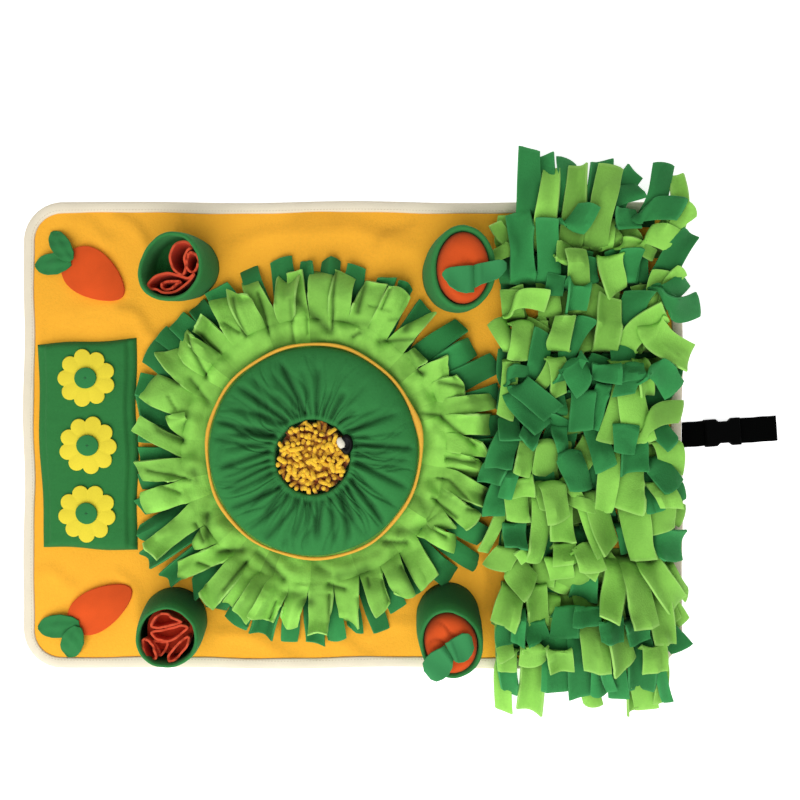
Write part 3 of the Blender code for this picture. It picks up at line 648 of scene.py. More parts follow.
LEAF_SHARES = (0.0, 0.15, 0.40, 0.68, 0.90, 1.0)
LEAF_WIDTHS = (0.30, 0.72, 1.0, 0.95, 0.60, 0.22)
LEAF_LIES = {  # underside at each of LEAF_SHARES
    "under": (0.0088, 0.0088, 0.0080, 0.0050, 0.0040, 0.0040),
    "over": (0.0116, 0.0114, 0.0108, 0.0080, 0.0044, 0.0040),
}
CARROT_LEAVES = (  # name, base x, y, tip x, y, width, lie, fold
    ("carrot_leaf_upper_side", -0.2995, 0.1840, -0.3390, 0.1805, 0.0230, "under", 0.0022),
    ("carrot_leaf_upper_top", -0.2985, 0.1850, -0.3210, 0.2170, 0.0210, "over", 0.0020),
    ("carrot_leaf_lower_side", -0.2905, -0.2010, -0.3360, -0.2055, 0.0250, "under", 0.0022),
    ("carrot_leaf_lower_bottom", -0.2910, -0.2030, -0.3040, -0.2365, 0.0240, "over", 0.0024),
)


def add_leaf(bm, base_x, base_y, tip_x, tip_y, width, lie, fold):
    """A leaf with a raised middle fold, round at its free end and pinched where it is sewn."""
    base = Vector((base_x, base_y))
    along = Vector((tip_x, tip_y)) - base
    side = Vector((-along.y, along.x)).normalized()
    bmesh.ops.create_grid(bm, x_segments=12, y_segments=22, size=1.0)
    for vert in bm.verts:
        across = vert.co.x
        share = (vert.co.y + 1) / 2
        half = np.interp(share, LEAF_SHARES, LEAF_WIDTHS) * width / 2
        if share > 0.72:
            half *= math.sqrt(max(0.02, 1 - ((share - 0.72) / 0.285) ** 2))
            half /= np.interp(share, (0.72, 1.0), (1, 0.6))
        half = min(half, width * 0.52)
        spot = base + along * share - side * across * half
        z = np.interp(share, LEAF_SHARES, LEAF_LIES[lie]) + FELT / 2
        crown = fold * bell(across / 0.32) * math.sin(math.pi * min(1, share * 1.15))
        curl = 0.0016 * across ** 2 * math.sin(math.pi * share)
        ripple = 0.0005 * math.sin(share * 17 + across * 3)
        vert.co = (*spot, z + crown + curl + ripple)


for name, *shape in CARROT_LEAVES:
    bm = bmesh.new()
    add_leaf(bm, *shape)
    leaf = make_piece(f"{name}_felt", bm, green_felt, [name])
    thicken(leaf, FELT, 0.0, 0.0005)
    reach = math.dist(shape[0:2], shape[2:4])

# ---------------------------------------------------------------- pots
# Four cups of dark green fleece that stand on the panel. Each wall is folded over at its rim, so it is thick
# and soft, and it leans and wobbles as a hand-sewn cup does.
Pot = namedtuple("Pot", "name x y base_x base_y lean_x lean_y rim_x rim_y wall height")
POTS = (  # name, x, y, base rx, ry, lean x, y, rim rx, ry, wall, height
    ("upper_left", -0.1778, 0.1787, 0.0350, 0.0340, -0.0050, -0.0050, 0.0323, 0.0353, 0.0045, 0.0640),
    ("lower_left", -0.1905, -0.1973, 0.0350, 0.0350, 0.0045, -0.0055, 0.0312, 0.0318, 0.0040, 0.0620),
    ("upper_right", 0.1076, 0.1712, 0.0336, 0.0400, 0.0077, 0.0003, 0.0338, 0.0443, 0.0062, 0.0620),
    ("lower_right", 0.1016, -0.1942, 0.0340, 0.0370, 0.0000, -0.0155, 0.0328, 0.0372, 0.0048, 0.0620),
)
POTS = [Pot(*sizes) for sizes in POTS]
RIM_SHAPES = {  # degrees round the rim, how full it is there
    "upper_left": (
        (0, 1.03), (60, 1.0), (100, 0.98), (135, 0.89), (165, 0.91), (190, 1.03), (207, 1.17), (222, 1.15),
        (245, 1.04), (280, 1.0), (320, 1.02),
    ),
    "lower_left": (
        (0, 1.0), (20, 0.97), (48, 0.91), (90, 0.98), (130, 1.0), (170, 1.0), (200, 1.07), (225, 1.09),
        (270, 1.02), (310, 1.03), (335, 1.05),
    ),
    "upper_right": (
        (0, 0.98), (60, 1.0), (90, 1.02), (150, 1.0), (200, 1.02), (250, 0.98), (300, 0.98),
    ),
    "lower_right": (
        (0, 1.0), (45, 0.90), (80, 0.94), (120, 1.0), (160, 1.0), (200, 0.95), (240, 0.96), (280, 1.0),
        (318, 1.07),
    ),
}
POT_SECTION = (  # share of height, share of the wall's thickness that it is drawn in by
    (0.000, 0.30), (0.004, 0.00), (0.15, -0.10), (0.35, -0.22), (0.55, -0.26), (0.75, -0.16), (0.90, 0.00),
    (0.955, 0.05), (0.985, 0.22), (1.00, 0.50), (0.985, 0.80), (0.955, 0.97), (0.90, 1.04), (0.75, 0.98),
    (0.55, 0.92), (0.35, 0.94), (0.15, 1.00), (0.050, 1.15),
)
POT_OUTSIDE = 10  # how many stops of the section lie outside
POT_STEPS = 96
POT_LOW = 0.0034
POT_PAINTED_SHADES = {  # painted shade on the wall's side away from the light; painted tone inside, above 1 lighter, below 1 darker
    "upper_left": (0.34, 1.65), "lower_left": (0.56, 0.7),
    "upper_right": (0.30, 0.45), "lower_right": (0.56, 0.45),
}


def rim_fullness(name, share, angle):
    """How far a pot's rim bulges out or in there, less towards its foot."""
    degrees, full = zip(*RIM_SHAPES[name])
    near = np.arange(-36, 37, 6)
    around = np.interp(math.degrees(angle) + near, degrees, full, period=360)
    return 1 + (np.average(around, weights=1 + np.cos(near * math.pi / 40)) - 1) * min(1.0, share * 1.4)


def pot_spot(pot, share, shrink, angle):
    """A spot on a pot's wall at a share of its height, drawn in by shrink, with the wall's wobble."""
    rx = pot.base_x + (pot.rim_x - pot.base_x) * share - shrink
    ry = pot.base_y + (pot.rim_y - pot.base_y) * share - shrink
    swell = rim_fullness(pot.name, share, angle)
    soft = 0.0011 * lumps_round(angle, 1.3, share * 1.4 + pot.x * 60) * share
    soft += 0.0004 * lumps_round(angle, 3.1, share * 2.4 + pot.y * 50)
    return (
        pot.x + pot.lean_x * share + (rx * swell + soft) * math.cos(angle),
        pot.y + pot.lean_y * share + (ry * swell + soft) * math.sin(angle),
    )


def make_tube(bm, steps, stops):
    """An open tube: pairs of each stop and its ring, whose points keep their turns, and its last edges."""
    bmesh.ops.create_circle(bm, segments=steps, radius=1.0)
    rings, edges = [{vert: math.atan2(vert.co.y, vert.co.x) for vert in bm.verts}], bm.edges[:]
    while len(rings) < len(stops):
        made = bmesh.ops.extrude_edge_only(bm, edges=edges)["geom"]
        ring, below = {}, rings[-1]
        for vert in verts_in(made):
            beside = (edge.other_vert(vert) for edge in vert.link_edges)
            ring[vert] = next(below[other] for other in beside if other in below)
        rings.append(ring)
        edges = [item for item in made if isinstance(item, bmesh.types.BMEdge) and item.is_boundary]
    return list(zip(stops, rings)), edges


# Painted light and shade: each wall darkens towards its foot and on its side away from the light, and its
# inside takes its own painted tone.
pot_fleece = paint_shade_from_map(make_fleece("pot_fleece", (0.031, 0.205, 0.049), (0.30, 0.70, 0.36)))
for pot in POTS:
    shade_away_from_light, inside_painted_tone = POT_PAINTED_SHADES[pot.name]
    bm = bmesh.new()
    shades = {}
    tube, last = make_tube(bm, POT_STEPS, POT_SECTION)
    for stop, ((share, drawn), ring) in enumerate(tube):
        sunk = 1 - min(1.0, share / 0.94)
        for vert, angle in ring.items():
            dip = 0.0014 * lumps_round(angle, 2, pot.x * 30)
            height = POT_LOW + (pot.height - POT_LOW) * share + dip * share
            vert.co = (*pot_spot(pot, share, pot.wall * drawn, angle), height)
            # painted shade outside, with a little painted light; the pot's painted tone down the wall inside
            if stop < POT_OUTSIDE:
                shades[vert] = 1.08 - min(1.0, sunk * 4) * (0.10 + shade_away_from_light * max(0.0, math.sin(angle + 0.3)))
            else:
                shades[vert] = 1.1 + (inside_painted_tone - 1.1) * min(1.0, sunk * 3)
    close_up(bm, last)
    mark_painted_shade(bm, shades)
    name = f"pot_{pot.name}"
    make_piece(f"{name}_cup", bm, pot_fleece, [name])

# ---------------------------------------------------------------- stuffed carrots
# Two stuffed felt carrots stand in the right pots. Each is gathered to a dimple at its crown, off its middle,
# and wears two folded leaves of green felt.
STUFFED_LOW = 0.0060
STUFFED_TOP = 0.0685
STUFFED_STEPS = 90
DIMPLE = 0.0075
CARROT_STOPS = (  # share of height, size
    (0.00, 0.30), (0.10, 0.55), (0.35, 0.78), (0.60, 0.92), (0.76, 0.97), (0.84, 0.965), (0.885, 0.935),
    (0.920, 0.88), (0.945, 0.81), (0.964, 0.73), (0.977, 0.64), (0.986, 0.55), (0.992, 0.46), (0.996, 0.37),
    (0.999, 0.28), (1.000, 0.20), (1.000, 0.12), (1.000, 0.04),
)
LEAF_SEAMS = {"upper_right": (0.1246, 0.1590), "lower_right": (0.1000, -0.2160)}
stuffed_felt = paint_shade_from_map(make_felt("stuffed_felt", (0.80, 0.100, 0.014), (1.0, 0.5, 0.3)))
for pot in POTS[2:]:
    shades = {}
    bm = bmesh.new()
    for (share, size), ring in make_tube(bm, STUFFED_STEPS, CARROT_STOPS)[0]:
        height = STUFFED_LOW + (STUFFED_TOP - STUFFED_LOW) * share
        lean = min(1.0, height / pot.height)
        top = max(0.0, share - 0.88) / 0.12
        for vert, turn in ring.items():
            full = rim_fullness(pot.name, lean, turn) * size
            reach_x = (pot.base_x + (pot.rim_x - pot.base_x) * lean - pot.wall) * full
            reach_y = (pot.base_y + (pot.rim_y - pot.base_y) * lean - pot.wall) * full
            x = pot.x + pot.lean_x * lean + reach_x * math.cos(turn)
            y = pot.y + pot.lean_y * lean + reach_y * math.sin(turn)
            crease = 1 - min(1.0, abs(lumps(x * 42, y * 42, 3.0 + pot.y * 9)) / 0.16)
            sunk = DIMPLE * bell(math.dist((x, y), LEAF_SEAMS[pot.name]) / 0.016) + 0.0026 * crease ** 2
            sunk += 0.0012 * lumps(x * 90, y * 90, 1.0)
            # painted shade: darker in the crown's creases, up the sides where the pot's wall shades them, and
            # on the side away from the light
            shades[vert] = 1.0 - top * 0.34 * crease ** 2 - 0.45 * (1 - top) * min(1.0, share * 1.2)
            shades[vert] -= 0.16 * clamp((y - pot.y - pot.lean_y) / pot.rim_y, -0.6)
            vert.co = (x, y, height - top * sunk)
    close_up(bm)
    mark_painted_shade(bm, shades)
    name = f"stuffed_carrot_{pot.name}"
    make_piece(f"{name}_felt", bm, stuffed_felt, [name])

# name, its pot, millimetres: x, y of one edge and x, y of the other, from where it is sewn to its end
POT_LEAVES = (
    ("upper_right_inner", "upper_right", (
        (124.6, 172.9, 124.6, 145.8), (116.5, 172.4, 116.5, 144.8), (108.5, 171.9, 108.5, 146.8),
        (100.5, 170.9, 100.5, 151.8), (96.0, 168.9, 96.0, 157.9), (93.4, 165.9, 93.4, 162.9))),
    ("upper_right_outer", "upper_right", (
        (125.4, 150.3, 125.4, 173.4), (132.6, 153.8, 132.6, 175.4), (140.6, 156.4, 140.6, 176.9),
        (148.6, 159.4, 148.6, 178.4), (153.6, 163.9, 153.6, 178.4), (157.2, 168.9, 157.2, 175.9))),
    ("lower_right_inner", "lower_right", (
        (105.0, -224.4, 96.0, -207.4), (109.5, -226.4, 101.5, -203.4), (114.5, -225.9, 107.5, -199.9),
        (119.0, -223.4, 113.0, -196.8), (122.5, -218.4, 118.5, -197.3), (124.5, -212.4, 122.0, -201.4))),
    ("lower_right_outer", "lower_right", (
        (95.0, -209.4, 103.5, -222.9), (88.4, -212.4, 103.0, -231.5), (81.4, -216.4, 99.5, -238.5),
        (76.4, -221.4, 93.4, -243.0), (72.9, -227.4, 87.4, -245.5), (74.4, -235.0, 81.4, -244.0))),
)
LEAF_TOP = 0.0716
MM = 0.001
# painted light: the pot leaves' felt is a lighter copy of the green felt, for the light they catch high on
# the pots
leaf_felt_painted_light = make_felt("leaf_felt_painted_light", (0.040, 0.262, 0.082), (0.45, 0.85, 0.50))
for name, pot_name, rows in POT_LEAVES:
    rows = np.array(rows) * MM
    middles = (rows[:, :2] + rows[:, 2:]) / 2
    spans = np.linalg.norm(rows[:, :2] - rows[:, 2:], axis=1)
    steps = np.linalg.norm(np.diff(middles, axis=0), axis=1)
    area = float(((spans[1:] + spans[:-1]) / 2 * steps).sum())
    bm = bmesh.new()
    bmesh.ops.create_grid(bm, x_segments=16, y_segments=30, size=1.0)
    for vert in bm.verts:
        across, share = (vert.co.x + 1) / 2, (vert.co.y + 1) / 2
        ax, ay, bx, by = (np.interp(share * 5, range(6), rows[:, side]) for side in range(4))
        z = LEAF_TOP - 0.0024 * bell(share / 0.05) + 0.0012 * bell((share - 0.14) / 0.06)
        z += 0.0016 * (2 * across - 1) ** 2 * math.sin(math.pi * share) - 0.0022 * share ** 3
        z += 0.0008 * math.sin(share * 9 + across * 2)
        vert.co = (ax + (bx - ax) * across, ay + (by - ay) * across, z)
    bmesh.ops.recalc_face_normals(bm, faces=bm.faces)
    name = f"pot_leaf_{name}"
    leaf = make_piece(f"{name}_felt", bm, leaf_felt_painted_light, [name])
    thicken(leaf, FELT, 0.0, 0.0005)
    flat = (float(spans.max()), float(steps.sum()))

# ---------------------------------------------------------------- felt rolls
# Strips of red felt stand on their edges in each left pot, folded back on themselves in loose loops, which
# draw in towards the pot's floor.
ROLL_LOW = 0.0070
ROLL_HEIGHT = 0.0450  # the strips' own width
ROLL_FELT = 0.0022
LOOP_STEPS = 120
ROLL_FLOORS = {"upper_left": (0.0110, 0.50), "lower_left": (0.0380, 0.96)}
FELT_LOOPS = {  # height of the loop's upper edge, how far it draws in, millimetres: where its upper edge runs
    "upper_left": (
        (0.0565, 0.40, (
            (-176.5, 197.8), (-182.6, 189.7), (-184.2, 180.5), (-181.6, 172.3), (-176.5, 167.2),
            (-171.4, 165.2), (-168.6, 172.3), (-169.8, 181.5), (-166.8, 189.4), (-162.2, 193.8),
            (-168.3, 198.9),
        )),
        (0.0560, 0.35, (
            (-162.2, 188.0), (-157.1, 184.6), (-155.6, 177.4), (-158.1, 170.3), (-163.2, 168.2),
            (-166.8, 172.3), (-167.4, 179.5), (-165.8, 185.6),
        )),
        (0.0560, 0.30, (
            (-172.4, 163.6), (-178.5, 165.4), (-186.7, 166.9), (-195.9, 164.8), (-203.1, 160.6),
            (-207.2, 155.2), (-204.6, 151.2), (-198.0, 150.2), (-191.8, 147.2), (-182.6, 147.4),
            (-173.5, 151.9), (-165.3, 158.4), (-159.5, 165.6), (-165.8, 162.0),
        )),
        (0.0530, 0.30, (
            (-178.5, 156.2), (-182.7, 152.0), (-189.8, 150.4), (-193.4, 153.2), (-192.3, 157.2),
            (-187.7, 158.9), (-181.6, 159.0), (-174.9, 158.8),
        )),
    ),
    "lower_left": (
        (0.0560, 0.30, (
            (-203.1, -193.4), (-200.0, -185.3), (-193.9, -181.2), (-186.7, -181.2), (-180.6, -185.3),
            (-173.4, -189.3), (-180.6, -191.6), (-188.8, -193.4), (-195.9, -195.2),
        )),
        (0.0535, 0.22, (
            (-203.1, -199.8), (-201.0, -205.7), (-194.9, -208.2), (-186.7, -208.8), (-179.6, -206.2),
            (-172.4, -200.6), (-167.3, -195.6), (-172.4, -192.6), (-178.5, -194.6), (-186.7, -196.8),
            (-194.9, -198.2),
        )),
        (0.0560, 0.30, (
            (-212.4, -208.2), (-211.6, -216.0), (-208.0, -224.0), (-203.6, -228.2), (-198.4, -225.1),
            (-200.8, -216.9), (-204.1, -210.8), (-208.4, -206.4),
        )),
        (0.0560, 0.30, (
            (-165.6, -204.7), (-166.6, -212.8), (-172.4, -220.0), (-178.5, -226.8), (-184.2, -228.6),
            (-186.4, -224.6), (-182.2, -218.6), (-176.5, -211.8), (-170.4, -206.7),
        )),
        (0.0480, 0.25, (
            (-203.1, -210.4), (-195.9, -211.4), (-188.8, -211.4), (-190.4, -218.0), (-195.5, -224.6),
            (-199.0, -218.0),
        )),
    ),
}
red_felt = make_felt("red_felt", (0.60, 0.046, 0.014), (1.0, 0.35, 0.25))
# painted shade: the felt darkens down the loops towards the pot's floor; painted highlight: paler along their
# upper edges
upwards = red_felt.part(red_felt.map("cut"), 1)
red_felt.colour(red_felt.mix(
    red_felt.spread(upwards, 0.93, 0.98) * 0.36,
    red_felt.tint(red_felt.worn, red_felt.spread(upwards, 0.3, 0.9, 0.80)),
    (0.78, 0.150, 0.065, 1),
))


def loop_spot(route, share):
    """A point on the smooth closed curve through a loop's points."""
    index = int(share * len(route)) % len(route)
    t = share * len(route) - int(share * len(route))
    a, b, c, d = (Vector(route[(index + step) % len(route)]) for step in (-1, 0, 1, 2))
    part = b * 2 + (c - a) * t + (a * 2 - b * 5 + c * 4 - d) * t ** 2 + (b * 3 - a - c * 3 + d) * t ** 3
    return part / 2 * MM


def faces_of(verts):
    return {face for vert in verts for face in vert.link_faces}


for pot in POTS[:2]:
    floor, size = ROLL_FLOORS[pot.name]
    share = floor / pot.height
    bm = bmesh.new()
    cut = bm.loops.layers.uv.new("cut")
    bmesh.ops.create_circle(bm, cap_ends=True, segments=48, radius=1.0)
    for _ in range(7):
        bmesh.ops.inset_region(bm, faces=[face for face in bm.faces if len(face.verts) > 4], thickness=0.13)
    for vert in bm.verts:
        x = pot.x + pot.lean_x * share + (pot.rim_x - pot.wall - 0.0020) * vert.co.x * size
        y = pot.y + pot.lean_y * share + (pot.rim_y - pot.wall - 0.0020) * vert.co.y * size
        vert.co = (x, y, floor + 0.0065 * lumps(x * 60, y * 60, 4.0))
    for face in bm.faces:
        for loop in face.loops:
            loop[cut].uv = (0.5, 0.5)
    run = math.pi * (pot.rim_x - pot.wall) * (pot.rim_y - pot.wall) / ROLL_HEIGHT
    for number, (top, drawn, route) in enumerate(FELT_LOOPS[pot.name]):
        around = [loop_spot(route, step / LOOP_STEPS) for step in range(LOOP_STEPS)]
        line = sum((around[step] - around[step - 1]).length for step in range(LOOP_STEPS))
        run += line * (1 - drawn / 2)
        foot = sum(around, Vector((0, 0))) / LOOP_STEPS
        made = bmesh.ops.create_grid(bm, x_segments=LOOP_STEPS, y_segments=10, size=1.0)["verts"]
        ups = {}
        for vert in made:
            step, up = round((vert.co.x + 1) * LOOP_STEPS / 2) % LOOP_STEPS, (vert.co.y + 1) / 2
            ups[vert] = up
            spot = foot.lerp(around[step], 1 - drawn * (1 - up) ** 1.3)
            wave = 0.0016 * math.sin(step * 0.16 + number * 2) + 0.0008 * math.sin(step * 0.42 + number)
            vert.co = (*spot, ROLL_LOW + (top + wave - ROLL_LOW) * up)
        for face in faces_of(made):
            for loop in face.loops:
                loop[cut].uv = (0.5, ups[loop.vert])
    bmesh.ops.remove_doubles(bm, verts=bm.verts, dist=0.00001)
    bmesh.ops.recalc_face_normals(bm, faces=bm.faces)
    name = f"felt_roll_{pot.name}"
    roll = make_piece(f"{name}_strip", bm, red_felt, [name])
    thicken(roll, ROLL_FELT, 0.0, 0.0006)

# ---------------------------------------------------------------- ring fringes of the large flower
# Two rings of fleece, dark below and light above, are gathered and sewn down round the puff. Each is cut from
# its outer edge into strips of uneven width, which fan out and lie over one another.
FLEECE = 0.0023
ON_PANEL = 0.0033
SQUARE = 0.001
LOW_X, LOW_Y = -0.42, -0.36
ROWS_UP, ROWS_ALONG = 720, 900
ROOT_HELD = 0.014  # how far from its seam a strip is held down
TABLE_CLEAR = 0.0016
POCKET_SIDE = -0.2300
FIELD_SIDE = 0.166
FOLD_DEPTH = 0.0060
FOLD_DEPTH_STRIPS = 0.0050

cloth_top = np.zeros((ROWS_UP, ROWS_ALONG))  # how high what is laid already reaches, by square
grid_y, grid_x = np.mgrid[0:ROWS_UP, 0:ROWS_ALONG]
grid_x = LOW_X + (grid_x + 0.5) * SQUARE
grid_y = LOW_Y + (grid_y + 0.5) * SQUARE
cloth_top[(np.abs(grid_x) < MAT_LENGTH / 2) & (np.abs(grid_y) < MAT_WIDTH / 2)] = 0.0046
for pot in POTS:
    cloth_top[((grid_x - pot.x) / pot.base_x) ** 2 + ((grid_y - pot.y) / pot.base_y) ** 2 < 1] = 0.0040


def squares_under(points):
    column = np.clip(((points[..., 0] - LOW_X) / SQUARE).astype(int), 3, ROWS_ALONG - 4)
    row = np.clip(((points[..., 1] - LOW_Y) / SQUARE).astype(int), 3, ROWS_UP - 4)
    return row, column


def settle(points, firm, clearance=0.0013):
    """Lift a strip's points clear of what is laid already, smoothly, and less near its sewn end."""
    row, column = squares_under(points)
    under = np.zeros(points.shape[:2])
    for up in (-2, 0, 2):
        for along in (-2, 0, 2):
            under = np.maximum(under, cloth_top[row + up, column + along])
    need = np.maximum(0.0, under + clearance - points[..., 2]) * firm[:, None]
    rise = need.copy()
    for _ in range(26):
        wide = np.pad(rise, 1, mode="edge")
        soft = (wide[:-2, 1:-1] + wide[2:, 1:-1]) * 0.30 + (wide[1:-1, :-2] + wide[1:-1, 2:]) * 0.20
        rise = np.maximum(need, soft * firm[:, None] ** 0.3 * 0.985)
    points[..., 2] += rise
    return points


def remember(points):
    """Mark how high a laid strip reaches."""
    rows = np.linspace(0, points.shape[0] - 1, points.shape[0] * 5)
    columns = np.linspace(0, points.shape[1] - 1, points.shape[1] * 7)
    r0 = np.minimum(rows.astype(int), points.shape[0] - 2)
    c0 = np.minimum(columns.astype(int), points.shape[1] - 2)
    fr = (rows - r0)[:, None, None]
    fc = (columns - c0)[None, :, None]
    fine = (
        points[r0][:, c0] * (1 - fr) * (1 - fc) + points[r0 + 1][:, c0] * fr * (1 - fc)
        + points[r0][:, c0 + 1] * (1 - fr) * fc + points[r0 + 1][:, c0 + 1] * fr * fc
    )
    row, column = squares_under(fine)
    np.maximum.at(cloth_top, (row.ravel(), column.ravel()), fine[..., 2].ravel() + FLEECE / 2)


def curve(share, start, first, second, end):
    """A line from start to end that sets out for its first middle point and comes in from its second."""
    start, first, second, end = (np.array(tuple(spot)) for spot in (start, first, second, end))
    return (
        start * (1 - share) ** 3 + 3 * first * share * (1 - share) ** 2
        + 3 * second * share ** 2 * (1 - share) + end * share ** 3
    )


def unit(rows):
    return rows / np.linalg.norm(rows, axis=1)[:, None]


def widen(middle, across, crown, reach, width, dish, soon):
    """Rows of points across a line, dished towards the crown, more so from its start on."""
    share = np.linspace(0, 1, len(middle))[:, None]
    points = middle[:, None] + across[:, None] * (reach * width / 2)[None, :, None]
    return points + crown[:, None] * dish[None, :, None] * np.minimum(1, share * soon)[:, :, None]


def how_free(middle):
    """How free each row of a strip is to be lifted, from 0 at its root to 1, and the strip's length."""
    length = np.linalg.norm(np.diff(middle, axis=0), axis=1).cumsum()
    return np.clip(np.concatenate(((0.0,), length)) / ROOT_HELD, 0, 1), length[-1]


def loosen(points, arch, curl, ripple, phase):
    """Arch a strip that lies, curl its tip up or down, and let it ripple."""
    share = np.linspace(0, 1, points.shape[0])[:, None]
    free = np.clip((share - 0.22) / 0.78, 0, 1)
    points[..., 2] += arch * np.sin(math.pi * free) + curl * np.clip((share - 0.74) / 0.26, 0, 1) ** 2
    points[..., 2] += ripple * np.sin(2 * math.pi * (1.4 * share + phase)) * free
    points[..., 2] = np.maximum(points[..., 2], TABLE_CLEAR)
    return points


def trim_end(points, skew, phase):
    """Cut a strip a little unevenly along its sides, askew at its end, and wear its corners round."""
    share = np.linspace(0, 1, points.shape[0])[:, None]
    reach = np.linspace(-1, 1, points.shape[1])[None]
    middle = points[:, points.shape[1] // 2][:, None]
    wider = 1 + 0.06 * np.sin(2 * math.pi * (0.9 * share + phase)) * share
    points = middle + (points - middle) * wider[..., None]
    ahead = points[-1, points.shape[1] // 2] - points[-2, points.shape[1] // 2]
    shift = skew * reach * share ** 3 - 0.0007 * np.abs(reach) ** 6 * share ** 10
    return points + shift[..., None] * (ahead / np.linalg.norm(ahead))


def cloth_mesh():
    """An empty mesh for strips, with a map for the place on its strip and one for its dye lot and painted
    shade.
    """
    bm = bmesh.new()
    return bm, bm.loops.layers.uv.new("cut"), bm.loops.layers.uv.new("dye_lot_and_shade")


def add_strip(bm, cut, dye_lot_and_shade, points, lot):
    """A strip of cloth through rows of points; its UV maps hold its place, its dye lot and its painted shade.
    """
    rows, columns = points.shape[:2]
    made = bmesh.ops.create_grid(bm, x_segments=columns - 1, y_segments=rows - 1, size=1.0)["verts"]
    spots = {}
    for vert in made:
        across, along = (vert.co.x + 1) / 2, (vert.co.y + 1) / 2
        spots[vert] = (across, along)
        vert.co = points[round(along * (rows - 1)), round(across * (columns - 1))]
    for face in faces_of(made):
        for loop in face.loops:
            loop[cut].uv = spots[loop.vert]
            loop[dye_lot_and_shade].uv = (lot, 0.5)


def make_cut_fleece(name, colour, cut_colour, light):
    """Cut fleece strips: each a little off in tone, with painted shade from its map, and paler where it was
    cut.
    """
    finish = make_fleece(name, colour, light)
    spot, lot = finish.map("cut"), finish.map("dye_lot_and_shade")
    across, along = finish.part(spot, 0), finish.part(spot, 1)
    shift, depth = finish.part(lot, 0), finish.part(lot, 1)
    side = finish.spread(abs(across * 2 - 1), 0.93, 1.0) * finish.spread(along, 0.36, 0.44)
    tip = finish.spread(along, 0.978, 1.0)
    edge = finish.node("ShaderNodeMath", {"operation": "MAXIMUM"}, {0: side, 1: tip})
    # painted shade: the map's second share darkens strips that lie deep, and dims their pale cut edges there
    toned = finish.tint(finish.worn, (0.80 + shift * 0.38) * depth)
    return finish.colour(finish.mix(edge * 0.5 * depth, toned, (*cut_colour, 1)))


def paint_deep_shade(pieces, fold_shaded_pieces):
    """Paint shade into each piece's map, by how deep it lies among the strips and in the ring's folds."""
    soft = cloth_top
    for _ in range(8):
        wide = np.pad(soft, 2, mode="edge")
        soft = (wide[:-4, 2:-2] + wide[4:, 2:-2] + wide[2:-2, :-4] + wide[2:-2, 4:] + wide[2:-2, 2:-2]) / 5
    for piece in pieces:
        mesh = piece.data
        spots = np.empty(len(mesh.vertices) * 3)
        mesh.vertices.foreach_get("co", spots)
        spots = spots.reshape(-1, 3)
        row, column = squares_under(spots)
        # painted shade: darker the deeper a point lies below the blurred top of the cloth, a little lighter
        # above it
        shade = 1.0 - 0.66 * np.clip((soft[row, column] - spots[:, 2]) / 0.016, -0.2, 1.0)
        # painted shade: darker down in the light ring's folds
        if piece in fold_shaded_pieces:
            shade = shade * (1.06 - 0.66 * ring_fold(spots[:, 0], spots[:, 1]))
        owner = np.empty(len(mesh.loops), dtype=np.int32)
        mesh.loops.foreach_get("vertex_index", owner)
        dye_lot_and_shade = mesh.uv_layers["dye_lot_and_shade"].data
        places = np.empty(len(dye_lot_and_shade) * 2)
        dye_lot_and_shade.foreach_get("uv", places)
        places[1::2] = shade[owner]
        dye_lot_and_shade.foreach_set("uv", places)


dark_strips = make_cut_fleece(
    "dark_cut_fleece", (0.031, 0.235, 0.060), (0.065, 0.34, 0.105), (0.3, 0.7, 0.36)
)
light_strips = make_cut_fleece(
    "light_cut_fleece", (0.250, 0.572, 0.085), (0.40, 0.71, 0.18), (0.7, 1.0, 0.45)
)


def clear_reach(angle, reach):
    """How far from the flower's middle a strip may reach before it meets the pocket, a pot or the field."""
    ray = Vector((math.cos(angle), math.sin(angle)))
    if ray.x < -0.3:
        reach = min(reach, (POCKET_SIDE - FLOWER_X) / ray.x - 0.003)
    if ray.x > 0.3:
        reach = min(reach, (FIELD_SIDE - FLOWER_X) / ray.x)
    for pot in POTS:
        away = Vector((pot.x - FLOWER_X, pot.y - FLOWER_Y))
        radius = max(pot.base_x, pot.base_y) + 0.005
        side = abs(ray.x * away.y - ray.y * away.x)
        if side < radius and away.dot(ray) > 0:
            reach = min(reach, away.dot(ray) - math.sqrt(radius ** 2 - side ** 2))
    return reach


# degrees: where it is rooted, where its tip lies; millimetres: how far out the tip is, its width
LIGHT_STRIPS = (
    (131, 131.5, 178, 22), (97, 96.2, 191, 19), (108, 111, 192, 20), (243, 240.5, 187, 13),
    (264, 261.5, 187, 21), (179, 171, 193, 18), (220, 217, 160, 21), (33.5, 32.5, 168, 23),
    (43, 42, 152, 20), (87, 87.5, 192, 24), (80, 80, 190, 23), (71, 69.5, 190, 24), (62, 61.5, 193, 24),
    (52, 49.5, 190, 21), (26, 24, 172, 24), (19, 15.5, 198, 21), (12, 8.5, 190, 22), (4, 0.5, 181, 21),
    (357, 353.5, 180, 21), (349, 345, 189, 24), (341, 336, 186, 22), (333, 329, 162, 23),
    (325, 326.5, 180, 18), (315, 311.5, 185, 25), (305, 302.5, 181, 21), (295.5, 293.5, 184, 23),
    (284, 281.5, 187, 27), (273, 271.5, 189, 26), (249, 246, 189, 21), (255, 252.5, 184, 26),
    (237, 234.5, 193, 23), (228, 221.5, 191, 20), (208, 211.5, 199, 22), (197, 197, 191, 24),
    (187.5, 186.5, 187, 24), (160, 158.5, 189, 32), (149.5, 146, 188, 25), (142.5, 140.5, 181, 23),
    (137, 137.5, 183, 14), (124, 122, 189, 22), (115, 115.5, 184, 25), (102, 98.5, 182, 23),
    (170, 165, 150, 20),
)
